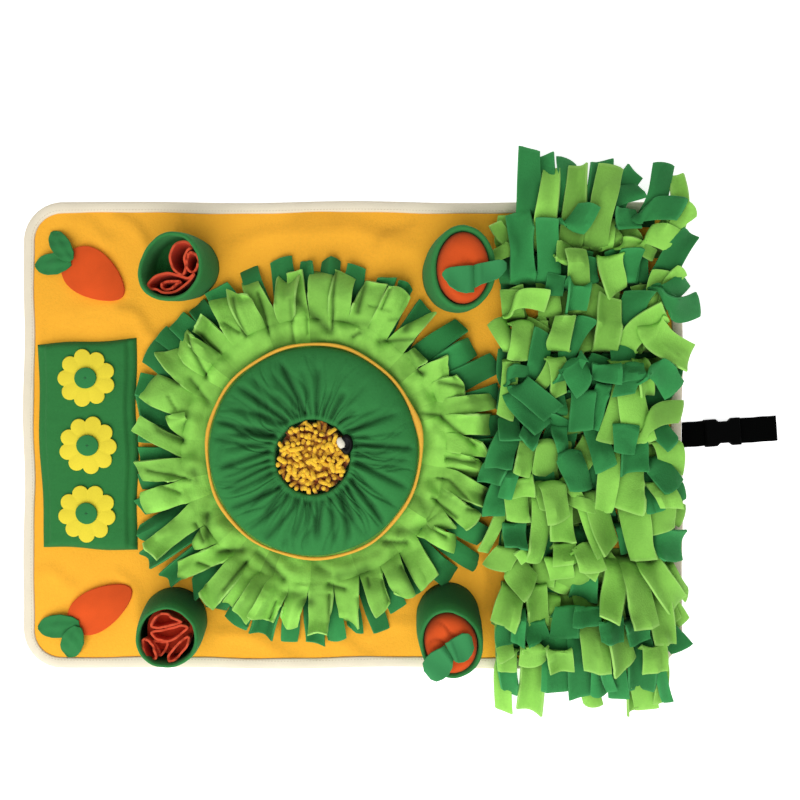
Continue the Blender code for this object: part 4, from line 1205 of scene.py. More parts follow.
DARK_STRIPS = (  # the same, for the lower ring
    (85, 85, 205, 19), (77, 77, 202, 23), (67, 67, 199, 25), (60, 61, 203, 17), (52, 52, 203, 21),
    (42, 40.5, 206, 23), (34, 33.5, 201, 23), (26, 26, 215, 27), (17, 17, 205, 24), (8, 8, 203, 24),
    (0, 0, 200, 26), (351, 351, 202, 24), (343, 343, 201, 25), (333, 333, 203, 24), (325, 325, 213, 19),
    (316, 317, 200, 27), (307, 306, 196, 22), (299, 298, 191, 21), (291, 290.5, 205, 20),
    (283, 283, 197, 20), (276, 277, 203, 20), (269, 270.5, 204, 20), (262, 262.5, 205, 19),
    (254, 254, 203, 25), (246, 245.5, 202, 26), (238, 238, 198, 22), (229, 229, 197, 24),
    (221, 221, 208, 18), (213, 213, 213, 21), (205.5, 205.5, 206, 22), (198, 198, 196, 20),
    (190, 190, 191, 18), (182, 182, 190, 20), (174, 174, 190, 20), (166, 166, 196, 26), (158, 159, 205, 25),
    (149.5, 148.5, 207, 31), (142, 142.5, 206, 19), (135.5, 136.5, 202, 25), (128, 129, 199, 23),
    (120, 121, 203, 28), (110, 110, 206, 21), (100, 100, 208, 26), (92.5, 92.5, 202, 19),
)
RING_FOLDS = (  # millimetres: x, y to x, y along the bottom of a fold, its half width; how strong it is
    # the upper right quarter
    (-56, 141, -23, 110, 5.0, 0.8), (-18, 122, 16, 118, 4.5, 0.5), (29, 100, 81, 101, 3.2, 0.9),
    (50, 95, 76, 86, 7.0, 0.5), (1, 105, 8, 109, 2.6, 0.9), (70, 68, 75, 66, 3.6, 1.0),
    (74, 24, 92, 21, 2.8, 0.7), (92, 21, 128, -9, 3.2, 0.8), (92, 57, 124, 50, 3.0, 0.9),
    (31, 133, 40, 152, 1.8, 0.8), (6, 131, 14, 165, 3.4, 1.0), (-21, 113, -18, 172, 2.6, 1.0),
    (57, 112, 74, 142, 4.4, 1.0), (19, 137, 40, 131, 2.0, 0.4), (40, 122, 53, 124, 2.0, 0.4),
    # the upper left quarter
    (-99, 150, -88, 108, 2.2, 0.8), (-125, 143, -112, 107, 2.6, 0.9), (-170, 105, -153, 61, 2.5, 0.9),
    (-162, 109, -142, 88, 2.3, 0.9), (-200, 66, -182, 56, 2.8, 1.0), (-170, 60, -153, 34, 3.0, 0.7),
    (-215, 32, -202, 7, 4.0, 1.0), (-202, 7, -181, -5, 4.4, 1.0), (-192, 42, -185, 28, 1.9, 0.6),
    (-63, 141, -63, 100, 2.4, 0.5), (-48, 137, -48, 109, 1.8, 0.5), (-134, 118, -119, 109, 2.0, 0.6),
    (-82, 160, -80, 140, 3.4, 1.0),
    # the lower left quarter
    (-215, -36, -170, -47, 2.6, 0.8), (-209, -49, -182, -61, 2.3, 0.7), (-168, -37, -165, -47, 5.0, 0.7),
    (-154, -84, -153, -106, 4.4, 1.0), (-217, -86, -192, -86, 3.8, 1.0), (-166, -93, -156, -110, 2.5, 0.9),
    (-140, -123, -117, -122, 4.0, 1.0), (-162, -134, -150, -138, 2.6, 1.0),
    (-101, -125, -73, -151, 4.2, 0.9), (-69, -168, -52, -166, 5.0, 0.6), (-50, -174, -44, -174, 6.0, 1.0),
    (-112, -134, -131, -159, 2.6, 0.9), (-80, -174, -87, -194, 1.8, 0.9),
    (-185, -150, -155, -156, 3.4, 1.0),
    # the lower right quarter
    (102, -24, 128, -28, 3.6, 1.0), (91, -45, 102, -46, 2.2, 0.8), (102, -46, 132, -79, 2.4, 0.8),
    (85, -66, 110, -85, 2.3, 0.8), (121, -76, 134, -79, 2.6, 0.9), (50, -102, 85, -97, 5.6, 0.7),
    (80, -95, 98, -106, 2.4, 0.9), (35, -113, 57, -113, 3.4, 1.0), (70, -66, 78, -78, 6.0, 0.4),
    (-14, -147, 14, -142, 6.5, 0.7), (-37, -140, -24, -146, 4.0, 0.5), (-25, -158, -8, -162, 3.0, 1.0),
    (52, -138, 70, -166, 3.2, 1.0), (16, -151, 18, -157, 2.4, 0.9), (32, -153, 38, -174, 1.9, 0.7),
    (7, -170, 10, -189, 2.6, 1.0), (-24, -168, -23, -196, 2.6, 1.0),
)


def ring_fold(x, y):
    """How far a spot lies down in the folds of the gathered cloth, from 0 to 1."""
    deep = np.zeros(np.shape(x))
    for ax, ay, bx, by, half, strength in np.array(RING_FOLDS):
        along = np.array((bx - ax, by - ay)) * MM
        share = np.clip(((x - ax * MM) * along[0] + (y - ay * MM) * along[1]) / (along @ along), 0, 1)
        off = np.hypot(x - ax * MM - share * along[0], y - ay * MM - share * along[1]) / (half * MM)
        deep = np.maximum(deep, strength * np.exp(-off ** 2))
    return deep


def crumple(x, y):
    """The soft folds that run through the gathered cloth, from -1 to 1."""
    return lumps(x * 36, y * 36, 2.0) + 0.6 * lumps(x * 74, y * 74, 7.0)


def ring_spot(angle, radius, low, rise, ruffle):
    """A spot of a gathered ring: it rises outwards from its seam and ruffles round it."""
    out = max(0.0, radius - 0.112)
    x, y = FLOWER_X + radius * math.cos(angle), FLOWER_Y + radius * math.sin(angle)
    z = low + rise * min(1.0, out / 0.018) + ruffle * min(1.0, out / 0.014) * crumple(x, y)
    if ruffle:
        z -= FOLD_DEPTH * float(ring_fold(x, y))
    return (x, y, max(z, low))


def build_ring(
    name, finish, node, inner, seam, strips, grid, low, rise, ruffle, lifts, arch, tilt, seed,
):
    """A ring of cloth from inner to its cuts' ends at seam, and the strips beyond it, as they lie."""
    down, wide = grid  # how many rows of points run down a strip, how many points across it
    luck = random.Random(seed)
    rooted = sorted(math.radians(strip[0]) for strip in strips)
    bm, cut, dye_lot_and_shade = cloth_mesh()
    area = math.pi * (seam ** 2 - inner ** 2)
    share = np.linspace(0, 1, down)[:, None]
    reach = np.linspace(-1, 1, wide)
    for root_turn, tip_turn, tip_out, width in strips:
        turn, width = math.radians(root_turn), width * MM
        place = rooted.index(turn)
        start = (rooted[place - 1] - (2 * math.pi if place == 0 else 0) + turn) / 2
        after = rooted[(place + 1) % len(rooted)] + (2 * math.pi if place == len(rooted) - 1 else 0)
        end = (after + turn) / 2
        out_turn = math.radians(tip_turn)
        far = clear_reach(out_turn, tip_out * MM)
        lift = luck.uniform(*lifts)
        root = Vector(ring_spot((start + end) / 2, seam, low, rise, ruffle))
        tip = Vector((FLOWER_X + far * math.cos(out_turn), FLOWER_Y + far * math.sin(out_turn), 0))
        tip.z = low + luck.uniform(0.0, 0.4) * lift
        rise_to = root.lerp(tip, 0.30)
        rise_to.z = root.z + lift
        bent = root.lerp(tip, 0.68)
        bent.z = root.z * 0.5 + tip.z * 0.5 + lift * 0.8
        middle = curve(share, root, rise_to, bent, tip)
        ahead = unit(np.gradient(middle, axis=0))
        side = unit(np.cross(ahead, (0.0, 0.0, 1.0)))
        above = np.cross(side, ahead)
        turned = luck.gauss(0, tilt) * share ** 0.8
        across = side * np.cos(turned) + above * np.sin(turned)
        bow = luck.gauss(0, 0.10 if luck.random() < 0.7 else 0.30) * width * (np.abs(reach) ** 1.4 - 0.4)
        points = widen(middle, across, above, reach, width, bow, 2)
        turns = np.linspace(end, start, wide)
        rows = [
            [ring_spot(a, inner + (seam - inner) * row / wide, low, rise, ruffle) for a in turns]
            for row in range(wide)
        ]
        edge = np.array([ring_spot(a, seam, low, rise, ruffle) for a in turns])
        points = trim_end(points, luck.gauss(0, 0.0022), luck.random())
        fade = np.clip(1 - share * luck.uniform(1.9, 4.6), 0, 1) ** 1.6
        points = points + (edge - points[0])[None] * fade[:, :, None]
        firm, length = how_free(middle)
        points[..., 2] = np.maximum(points[..., 2], low)
        points = settle(points, firm)
        for row in points[1:]:
            for spot in row:
                spot[2] += 0.30 * ruffle * crumple(spot[0], spot[1])
        if ruffle:
            points[..., 2] -= FOLD_DEPTH_STRIPS * ring_fold(points[..., 0], points[..., 1])
        loosened = (luck.uniform(0.1, 1.0) * arch, luck.gauss(0, 0.7) * arch, 0.15 * arch, luck.random())
        whole = np.concatenate((np.array(rows), loosen(points, *loosened)))
        remember(whole)
        add_strip(bm, cut, dye_lot_and_shade, whole, luck.random())
        area += length * width
    bmesh.ops.remove_doubles(bm, verts=bm.verts, dist=0.00002)
    ring = make_piece(name, bm, finish, [node])
    thicken(ring, FLEECE, 0.0, 0.0006)
    across = math.sqrt(area) * 1.3
    return ring


dark_ring = build_ring(
    "ring_fringe_dark_cloth", dark_strips, "ring_fringe_dark",
    inner=0.1180, seam=0.1500, strips=DARK_STRIPS, grid=(22, 7), low=ON_PANEL + 0.0012, rise=0.0, ruffle=0.0,
    lifts=(0.004, 0.013), arch=0.0050, tilt=0.34, seed=5,
)
light_ring = build_ring(
    "ring_fringe_light_cloth", light_strips, "ring_fringe_light",
    inner=0.1020, seam=0.1400, strips=LIGHT_STRIPS, grid=(31, 13), low=0.0078, rise=0.0100, ruffle=0.0100,
    lifts=(0.002, 0.022), arch=0.0100, tilt=0.50, seed=8,
)

# ---------------------------------------------------------------- puff and its piping
# A stuffed ring of dark fleece, drawn together by an elastic hem round its well. The gathers run out from the
# hem as troughs of uneven length. A cord of orange fleece is sewn round its foot.
PUFF_PROFILE = (  # radius, height, share of the gathers
    (0.0900, 0.0075, 0.0), (0.1010, 0.0085, 0.0), (0.1062, 0.0130, 0.0), (0.1090, 0.0180, 0.0),
    (0.1096, 0.0215, 0.04), (0.1088, 0.0245, 0.14), (0.1065, 0.0274, 0.45), (0.1030, 0.0299, 0.70),
    (0.0990, 0.0320, 0.85), (0.0945, 0.0338, 0.93), (0.0900, 0.0353, 1.0), (0.0850, 0.0366, 1.0),
    (0.0800, 0.0377, 1.0), (0.0750, 0.0386, 1.0), (0.0700, 0.0393, 1.0), (0.0650, 0.0398, 1.0),
    (0.0605, 0.0400, 1.0), (0.0565, 0.0399, 1.0), (0.0525, 0.0395, 1.0), (0.0490, 0.0388, 1.0),
    (0.0458, 0.0378, 1.0), (0.0430, 0.0364, 0.95), (0.0408, 0.0346, 0.8), (0.0394, 0.0320, 0.6),
    (0.0388, 0.0285, 0.4), (0.0386, 0.0240, 0.2), (0.0386, 0.0190, 0.1), (0.0380, 0.0150, 0.0),
)
PUFF_STEPS = 720
MAIN_TROUGHS = (  # degrees and millimetres out where it starts, the same where it ends, depth
    (84, 42, 86, 88, 0.8), (62, 40, 62, 70, 1.0), (47, 40, 44, 62, 0.7), (30, 42, 25, 96, 0.8),
    (9, 48, 2, 106, 1.1), (0, 48, 0, 84, 0.5), (-14, 44, -9, 98, 0.6), (-15, 50, -21, 107, 1.0),
    (-35, 42, -45, 107, 1.1), (-42, 40, -52, 86, 0.8), (-50, 42, -60, 84, 0.8), (-54, 48, -67, 100, 0.8),
    (-67, 44, -76, 98, 0.7), (-76, 44, -88, 86, 0.8), (263, 48, 258, 88, 0.8), (251, 60, 241, 107, 0.9),
    (236, 42, 232, 78, 0.6), (240, 58, 230, 107, 0.7), (226, 50, 214, 105, 0.9), (207, 48, 206, 94, 0.7),
    (180, 46, 190, 99, 1.0), (168, 44, 178, 92, 0.6), (158, 40, 162, 106, 1.0), (148, 40, 164, 82, 0.7),
    (158, 43, 169, 98, 0.7), (130, 40, 139, 103, 1.1), (101, 40, 110, 98, 1.2), (113, 40, 122, 70, 0.6),
    (74, 38, 76, 66, 0.5), (119, 40, 130, 103, 0.6), (134, 38, 151, 94, 0.7), (191, 48, 196, 99, 0.6),
    (198, 48, 202, 97, 0.6), (217, 46, 222, 96, 0.5), (229, 52, 237, 98, 0.4), (268, 46, 266, 98, 0.6),
    (276, 46, 274, 92, 0.6), (-28, 50, -33, 100, 0.6), (-4, 52, -5, 102, 0.5), (54, 46, 52, 90, 0.4),
    (18, 50, 13, 94, 0.4), (92, 42, 97, 86, 0.6), (106, 42, 117, 92, 0.6), (38, 46, 35, 80, 0.4),
    (70, 46, 69, 92, 0.3), (144, 50, 145, 104, 0.5), (174, 60, 172, 104, 0.5), (-60, 66, -58, 104, 0.4),
    (254, 60, 252, 104, 0.4),
)
MAIN_HALF = 0.0030
HEM_GATHERS = 30
HEM_HALF = 0.0018
TROUGH_DEPTH = 0.0066
DEEPEST = 0.0110
WELL_DROP = 0.0057  # the well lies this far below the puff's own middle
HEM_RADIUS = 0.0395
FULL_TURN = 2 * math.pi
puff_rings = [PUFF_PROFILE[0]]
for stop in PUFF_PROFILE[1:]:
    if 0.042 < stop[0] < 0.108:  # a ring half way between, where the gathers run
        puff_rings.append(tuple((was + now) / 2 for was, now in zip(puff_rings[-1], stop)))
    puff_rings.append(stop)
puff_folds = [
    (math.radians(start), out * MM, math.radians(end), far * MM, depth * TROUGH_DEPTH, MAIN_HALF)
    for start, out, end, far, depth in MAIN_TROUGHS
]
luck = random.Random(41)
for number in range(HEM_GATHERS):
    start = FULL_TURN * (number + luck.uniform(-0.35, 0.35)) / HEM_GATHERS
    end, far = start + luck.uniform(-0.10, 0.14), luck.uniform(0.050, 0.072)
    puff_folds.append((start, 0.036, end, far, luck.uniform(0.0008, 0.0018), HEM_HALF))


def puff_trough(angle, radius):
    """How deep the gathers are at a spot of the puff: a tight crease between soft shoulders."""
    deep = 0.0
    for start, out, end, far, depth, half in puff_folds:
        along = (radius - out) / (far - out)
        bend = clamp(along, high=1.1)
        centre = start + (end - start) * bend * (1.5 - 0.5 * bend)
        off = abs(math.remainder(angle - centre, FULL_TURN)) * radius
        width = half * (0.50 + 0.34 * bend)
        if off < width * 7:
            fade = (1 - 0.12 * bend) / (1 + math.exp((along - 0.99) / 0.05))
            deep += depth * fade * (0.4 * math.exp(-off / width) + 0.6 * bell(off / width / 1.9))
    return min(deep, DEEPEST)


def puff_wrinkle(x, y):
    """How deep the fine gathers are: round ridges that run out from the well, with tight creases between."""
    from_well = math.atan2(y + WELL_DROP, x)
    out = math.hypot(x, y + WELL_DROP)
    bent = from_well + 0.22 * lumps(x * 22, y * 22, 9.0)
    wave = lumps_round(bent, 6.6, out * 17) + 0.35 * lumps_round(bent, 14, out * 30 + 5)
    crease = (1 - min(1.0, abs(wave) / 0.30)) ** 1.6
    smooth = bell(math.remainder(from_well - 0.95, FULL_TURN) / 0.75)
    calm = 1 - 0.75 * smooth * clamp((out - 0.055) / 0.030)
    hem = clamp((out - 0.0400) / 0.0060)
    return (0.0028 - 0.016 * clamp(out - 0.045, high=0.1)) * crease * calm * hem


gathered_fleece = paint_shade_from_map(make_fleece("gathered_fleece", (0.031, 0.205, 0.049), (0.30, 0.70, 0.36)))
bm = bmesh.new()
puff_painted_shade = {}
for (radius, z, share), ring in make_tube(bm, PUFF_STEPS, puff_rings)[0]:
    slide = clamp((0.098 - radius) / 0.056)
    drop = WELL_DROP * slide ** 2 * (3 - 2 * slide)
    for vert, turn in ring.items():
        x, y = radius * math.cos(turn), radius * math.sin(turn) - drop
        # painted light and shade: a little lighter overall, darker towards the puff's +y side, away from the
        # light
        deep, puff_painted_shade[vert] = 0.0, 1.10 - 0.9 * max(0.0, y)
        if share:
            hem = clamp((math.hypot(x, y + WELL_DROP) - HEM_RADIUS) / 0.0060, 0.15)
            trough = puff_trough(math.atan2(y, x), math.hypot(x, y)) * hem
            wrinkle = puff_wrinkle(x, y)
            deep = trough + wrinkle
            # painted shade: darker down in the troughs and fine gathers
            core = 0.85 * (trough / 0.0075) ** 1.5 + wrinkle / DEEPEST
            puff_painted_shade[vert] -= min(0.54, 0.85 * core * min(1.0, share * 1.3))
        lump = 0.0013 * lumps_round(turn, 2.6, radius * 26)
        out = 1 + (lump * 0.6 + deep * 0.35 * share * clamp((0.052 - radius) / 0.012)) / radius
        x, y = x * out, (y + drop) * out - drop
        vert.co = (FLOWER_X + x, FLOWER_Y + y, z - deep * share + lump * min(1, share * 3))
close_up(bm)
mark_painted_shade(bm, puff_painted_shade)
puff = make_piece("puff_cloth", bm, gathered_fleece, ["puff"])

PIPING_RADIUS = 0.1128
PIPING_HEIGHT = 0.0212
PIPING_HALF = 0.0022
piping_fleece = make_fleece("piping_fleece", (0.88, 0.46, 0.055), (1.0, 0.72, 0.35))
bm = bmesh.new()
section = bmesh.ops.create_circle(bm, segments=12, radius=PIPING_HALF)["verts"]
bmesh.ops.rotate(bm, verts=section, cent=(0, 0, 0), matrix=Matrix.Rotation(math.pi / 2, 3, "X"))
bmesh.ops.translate(bm, verts=section, vec=(PIPING_RADIUS, 0, PIPING_HEIGHT))
bmesh.ops.spin(
    bm, geom=bm.verts[:] + bm.edges[:], cent=(0, 0, 0), axis=(0, 0, 1),
    angle=FULL_TURN, steps=240, use_merge=True,
)
for vert in bm.verts:
    turn = math.atan2(vert.co.y, vert.co.x)
    off = math.hypot(vert.co.x, vert.co.y) - PIPING_RADIUS
    full = 0.84 + 0.75 * bell(math.remainder(turn - 0.27, FULL_TURN) / 0.16)
    full += 0.16 * lumps_round(turn, 3, 5.0) + 0.10 * math.sin(7 * turn)
    out = PIPING_RADIUS + off * full + 0.0006 * math.sin(5 * turn + 1.0) + 0.0004 * math.sin(11 * turn)
    vert.co.x = FLOWER_X + out * math.cos(turn)
    vert.co.y = FLOWER_Y + out * math.sin(turn)
    vert.co.z += 0.0007 * math.sin(4 * turn + 0.5) + 0.00025 * math.sin(turn * 90 + math.sin(turn * 31))
bmesh.ops.recalc_face_normals(bm, faces=bm.faces)
make_piece("puff_piping_cord", bm, piping_fleece, ["puff_piping"])

# ---------------------------------------------------------------- puff filling
# The puff's well is filled with a pile of thick yellow chenille ends, which stand up and lean on one another.
CHENILLE_BASE = 0.0120
CHENILLE_TOP = 0.0378
CHENILLE_ENDS = 160
CHENILLE_SPREAD = 0.0364
CHENILLE_TILTS = (0.15, 0.3, 0.6, 1.0, 1.4)
WELL_RADIUS = 0.0388
WELL_Y = FLOWER_Y - WELL_DROP
BED = ((0.0370, 0.0370, 0.0085, 1), 0.0225)  # the half sizes of the pile below, and its middle's height


def make_chenille():
    """Looped chenille yarn in deep yellow, with painted shade that turns brown-red down between the tufts."""
    finish = Finish(
        "yellow_chenille",
        Roughness=0.95, Sheen_Weight=0.3, Sheen_Roughness=0.5, Sheen_Tint=(1.0, 0.8, 0.4, 1),
    )
    spot = finish.place()
    tuft = finish.node("ShaderNodeTexVoronoi", {}, {"Vector": spot, "Scale": 520})
    fibre = finish.noise(spot, 1900, 2)
    # painted shade: the lower a point of the pile lies, the more it turns to a dark brown-red
    pit_painted_shade = finish.spread(finish.part(spot, 2), 0.0292, 0.0350)
    tone = finish.mix(pit_painted_shade, (0.26, 0.045, 0.002, 1), (1.0, 0.61, 0.030, 1))
    finish.colour(finish.tint(tone, 1.05 - tuft * 0.40 + fibre * 0.18))
    return finish.grain(fibre * 0.4 - tuft, 0.0010, 0.6)


yellow_chenille = make_chenille()
luck = random.Random(11)
bm = bmesh.new()
bed_size, bed_height = BED
bmesh.ops.create_uvsphere(
    bm, u_segments=32, v_segments=12, radius=1.0,
    matrix=Matrix.Translation((FLOWER_X, WELL_Y, bed_height)) @ Matrix.Diagonal(bed_size),
)
golden = math.pi * (3 - math.sqrt(5))
for number in range(CHENILLE_ENDS):
    share = math.sqrt((number + 0.5) / CHENILLE_ENDS)
    x = CHENILLE_SPREAD * share * math.cos(number * golden) + luck.uniform(-0.0014, 0.0014)
    y = CHENILLE_SPREAD * share * math.sin(number * golden) + luck.uniform(-0.0014, 0.0014)
    crown = CHENILLE_TOP - 0.0008 * share ** 3 + luck.uniform(-0.0056, 0.0014)
    tilt = luck.choice(CHENILLE_TILTS) + luck.uniform(-0.12, 0.12)
    half = luck.uniform(0.0022, 0.0050)
    thick = luck.uniform(0.0024, 0.0031)
    lie = (
        Matrix.Translation((FLOWER_X + x, WELL_Y + y, crown - half * math.cos(tilt) - thick))
        @ Matrix.Rotation(luck.uniform(0, FULL_TURN), 4, "Z") @ Matrix.Rotation(tilt, 4, "Y")
    )
    made = bmesh.ops.create_uvsphere(bm, u_segments=10, v_segments=7, radius=thick)["verts"]
    for vert in made:
        vert.co.z += math.copysign(half, vert.co.z) if abs(vert.co.z) > 0.0001 else 0.0
        vert.co.x += 0.10 * vert.co.z ** 2 / half
        vert.co += vert.co.normalized() * 0.0004 * noise.noise((vert.co + Vector((number, 0, 0))) * 700)
    bmesh.ops.transform(bm, matrix=lie, verts=made)
for vert in bm.verts:
    flat = Vector((vert.co.x - FLOWER_X, vert.co.y - WELL_Y))
    if flat.length > WELL_RADIUS:
        flat = flat * (WELL_RADIUS / flat.length)
        vert.co.x, vert.co.y = FLOWER_X + flat.x, WELL_Y + flat.y
    vert.co.z = max(vert.co.z, CHENILLE_BASE)
bmesh.ops.recalc_face_normals(bm, faces=bm.faces)
filling = make_piece("puff_filling_chenille", bm, yellow_chenille, ["puff_filling"])
rounding = filling.modifiers.new("round", "SUBSURF")
rounding.levels = 1
rounding.render_levels = 1

# ---------------------------------------------------------------- cord lock
# A barrel cord lock of black plastic, moulded in one with a ribbed grip, stands at the edge of the well.
# A cream plastic piece stands at one side of it.
LOCK_TURN = math.radians(12.6)
LOCK_OUT = 0.0363
LOCK_HALF_X = 0.0068
LOCK_HALF_Y = 0.0106
CREAM_PIECE_HALF = (0.0042, 0.0064, 0.0034, 1)
CREAM_PIECE_PLACE = (-0.0056, 0.0014, 0.0390)  # from the lock's middle, and its height
LOCK_STOPS = (
    (0.0288, 0.72), (0.0296, 0.92), (0.0308, 1.0), (0.0352, 1.0), (0.0356, 0.93), (0.0364, 0.93),
    (0.0368, 1.0), (0.0392, 0.98), (0.0402, 0.90), (0.0408, 0.74), (0.0409, 0.52), (0.0404, 0.48),
    (0.0400, 0.30), (0.0399, 0.05),
)


def make_plastic(name, colour, roughness, shine=0.14):
    """Moulded plastic with a fine spark-eroded grain and slight wear."""
    finish = Finish(name, Roughness=roughness, Specular_IOR_Level=shine)
    spot = finish.place()
    rub = finish.noise(spot, 120, 3)
    finish.colour(finish.tint(colour, 0.75 + rub * 0.6))
    finish.show("Roughness", roughness - 0.08 + rub * 0.2)
    return finish.grain(finish.noise(spot, 1600, 2), 0.00015, 0.4)


black_plastic = make_plastic("black_plastic", (0.0028, 0.0030, 0.0030), 0.46)
lock_x = FLOWER_X + LOCK_OUT * math.cos(LOCK_TURN)
lock_y = FLOWER_Y + LOCK_OUT * math.sin(LOCK_TURN)
bm = bmesh.new()
for (z, size), ring in make_tube(bm, 40, LOCK_STOPS)[0]:
    for vert, turn in ring.items():
        vert.co = (
            lock_x + LOCK_HALF_X * size * math.cos(turn), lock_y + LOCK_HALF_Y * size * math.sin(turn), z
        )
close_up(bm)
make_piece("cord_lock_barrel", bm, black_plastic, ["cord_lock"])
cream_plastic = make_plastic("cream_plastic", (0.80, 0.76, 0.62), 0.45)
bm = bmesh.new()
bmesh.ops.create_uvsphere(
    bm, u_segments=20, v_segments=12, radius=1.0,
    matrix=Matrix.Translation((lock_x + CREAM_PIECE_PLACE[0], lock_y + CREAM_PIECE_PLACE[1], CREAM_PIECE_PLACE[2]))
    @ Matrix.Rotation(0.35, 4, "Z") @ Matrix.Diagonal(CREAM_PIECE_HALF),
)
make_piece("cord_lock_cream_piece", bm, cream_plastic, [])

# ---------------------------------------------------------------- fringe field
# Fifteen bands of fleece, dark and light, are sewn across the mat's right part and cut into strips. They
# rise from their seams, bend over and lie on one another: first the strips that are mostly hidden, laid by
# chance, then those that show, from the two hems inwards to the middle.
FIELD_LEFT = 0.1580
BAND_TAPE = 0.0080
BAND_DEPTH = 0.085  # from a band's seam to its strips' ends, as it is cut
BANDS = (  # y, right end, colour
    (0.2260, 0.3220, "dark"), (0.1930, 0.3360, "light"), (0.1570, 0.3360, "dark"),
    (0.1210, 0.3360, "light"), (0.0850, 0.3360, "light"), (0.0490, 0.3360, "dark"),
    (0.0160, 0.3360, "dark"), (-0.0020, 0.3360, "light"), (-0.0200, 0.3360, "dark"),
    (-0.0530, 0.3360, "light"), (-0.0890, 0.3360, "dark"), (-0.1250, 0.3360, "light"),
    (-0.1610, 0.3360, "light"), (-0.1950, 0.3360, "dark"), (-0.2260, 0.3220, "light"),
)
HIDDEN_STRIPS = 13  # in each band
STRIP_WIDTH = 0.0235
STRIP_ROWS = 24
STRIP_COLUMNS = 7
STRIP_LOW = ON_PANEL + FLEECE / 2
BARE_SPOTS = (
    (0.256, 0.193), (0.188, 0.162), (0.316, 0.043), (0.147, -0.056), (0.142, -0.092), (0.268, -0.088),
    (0.325, -0.138), (0.160, 0.170),
)
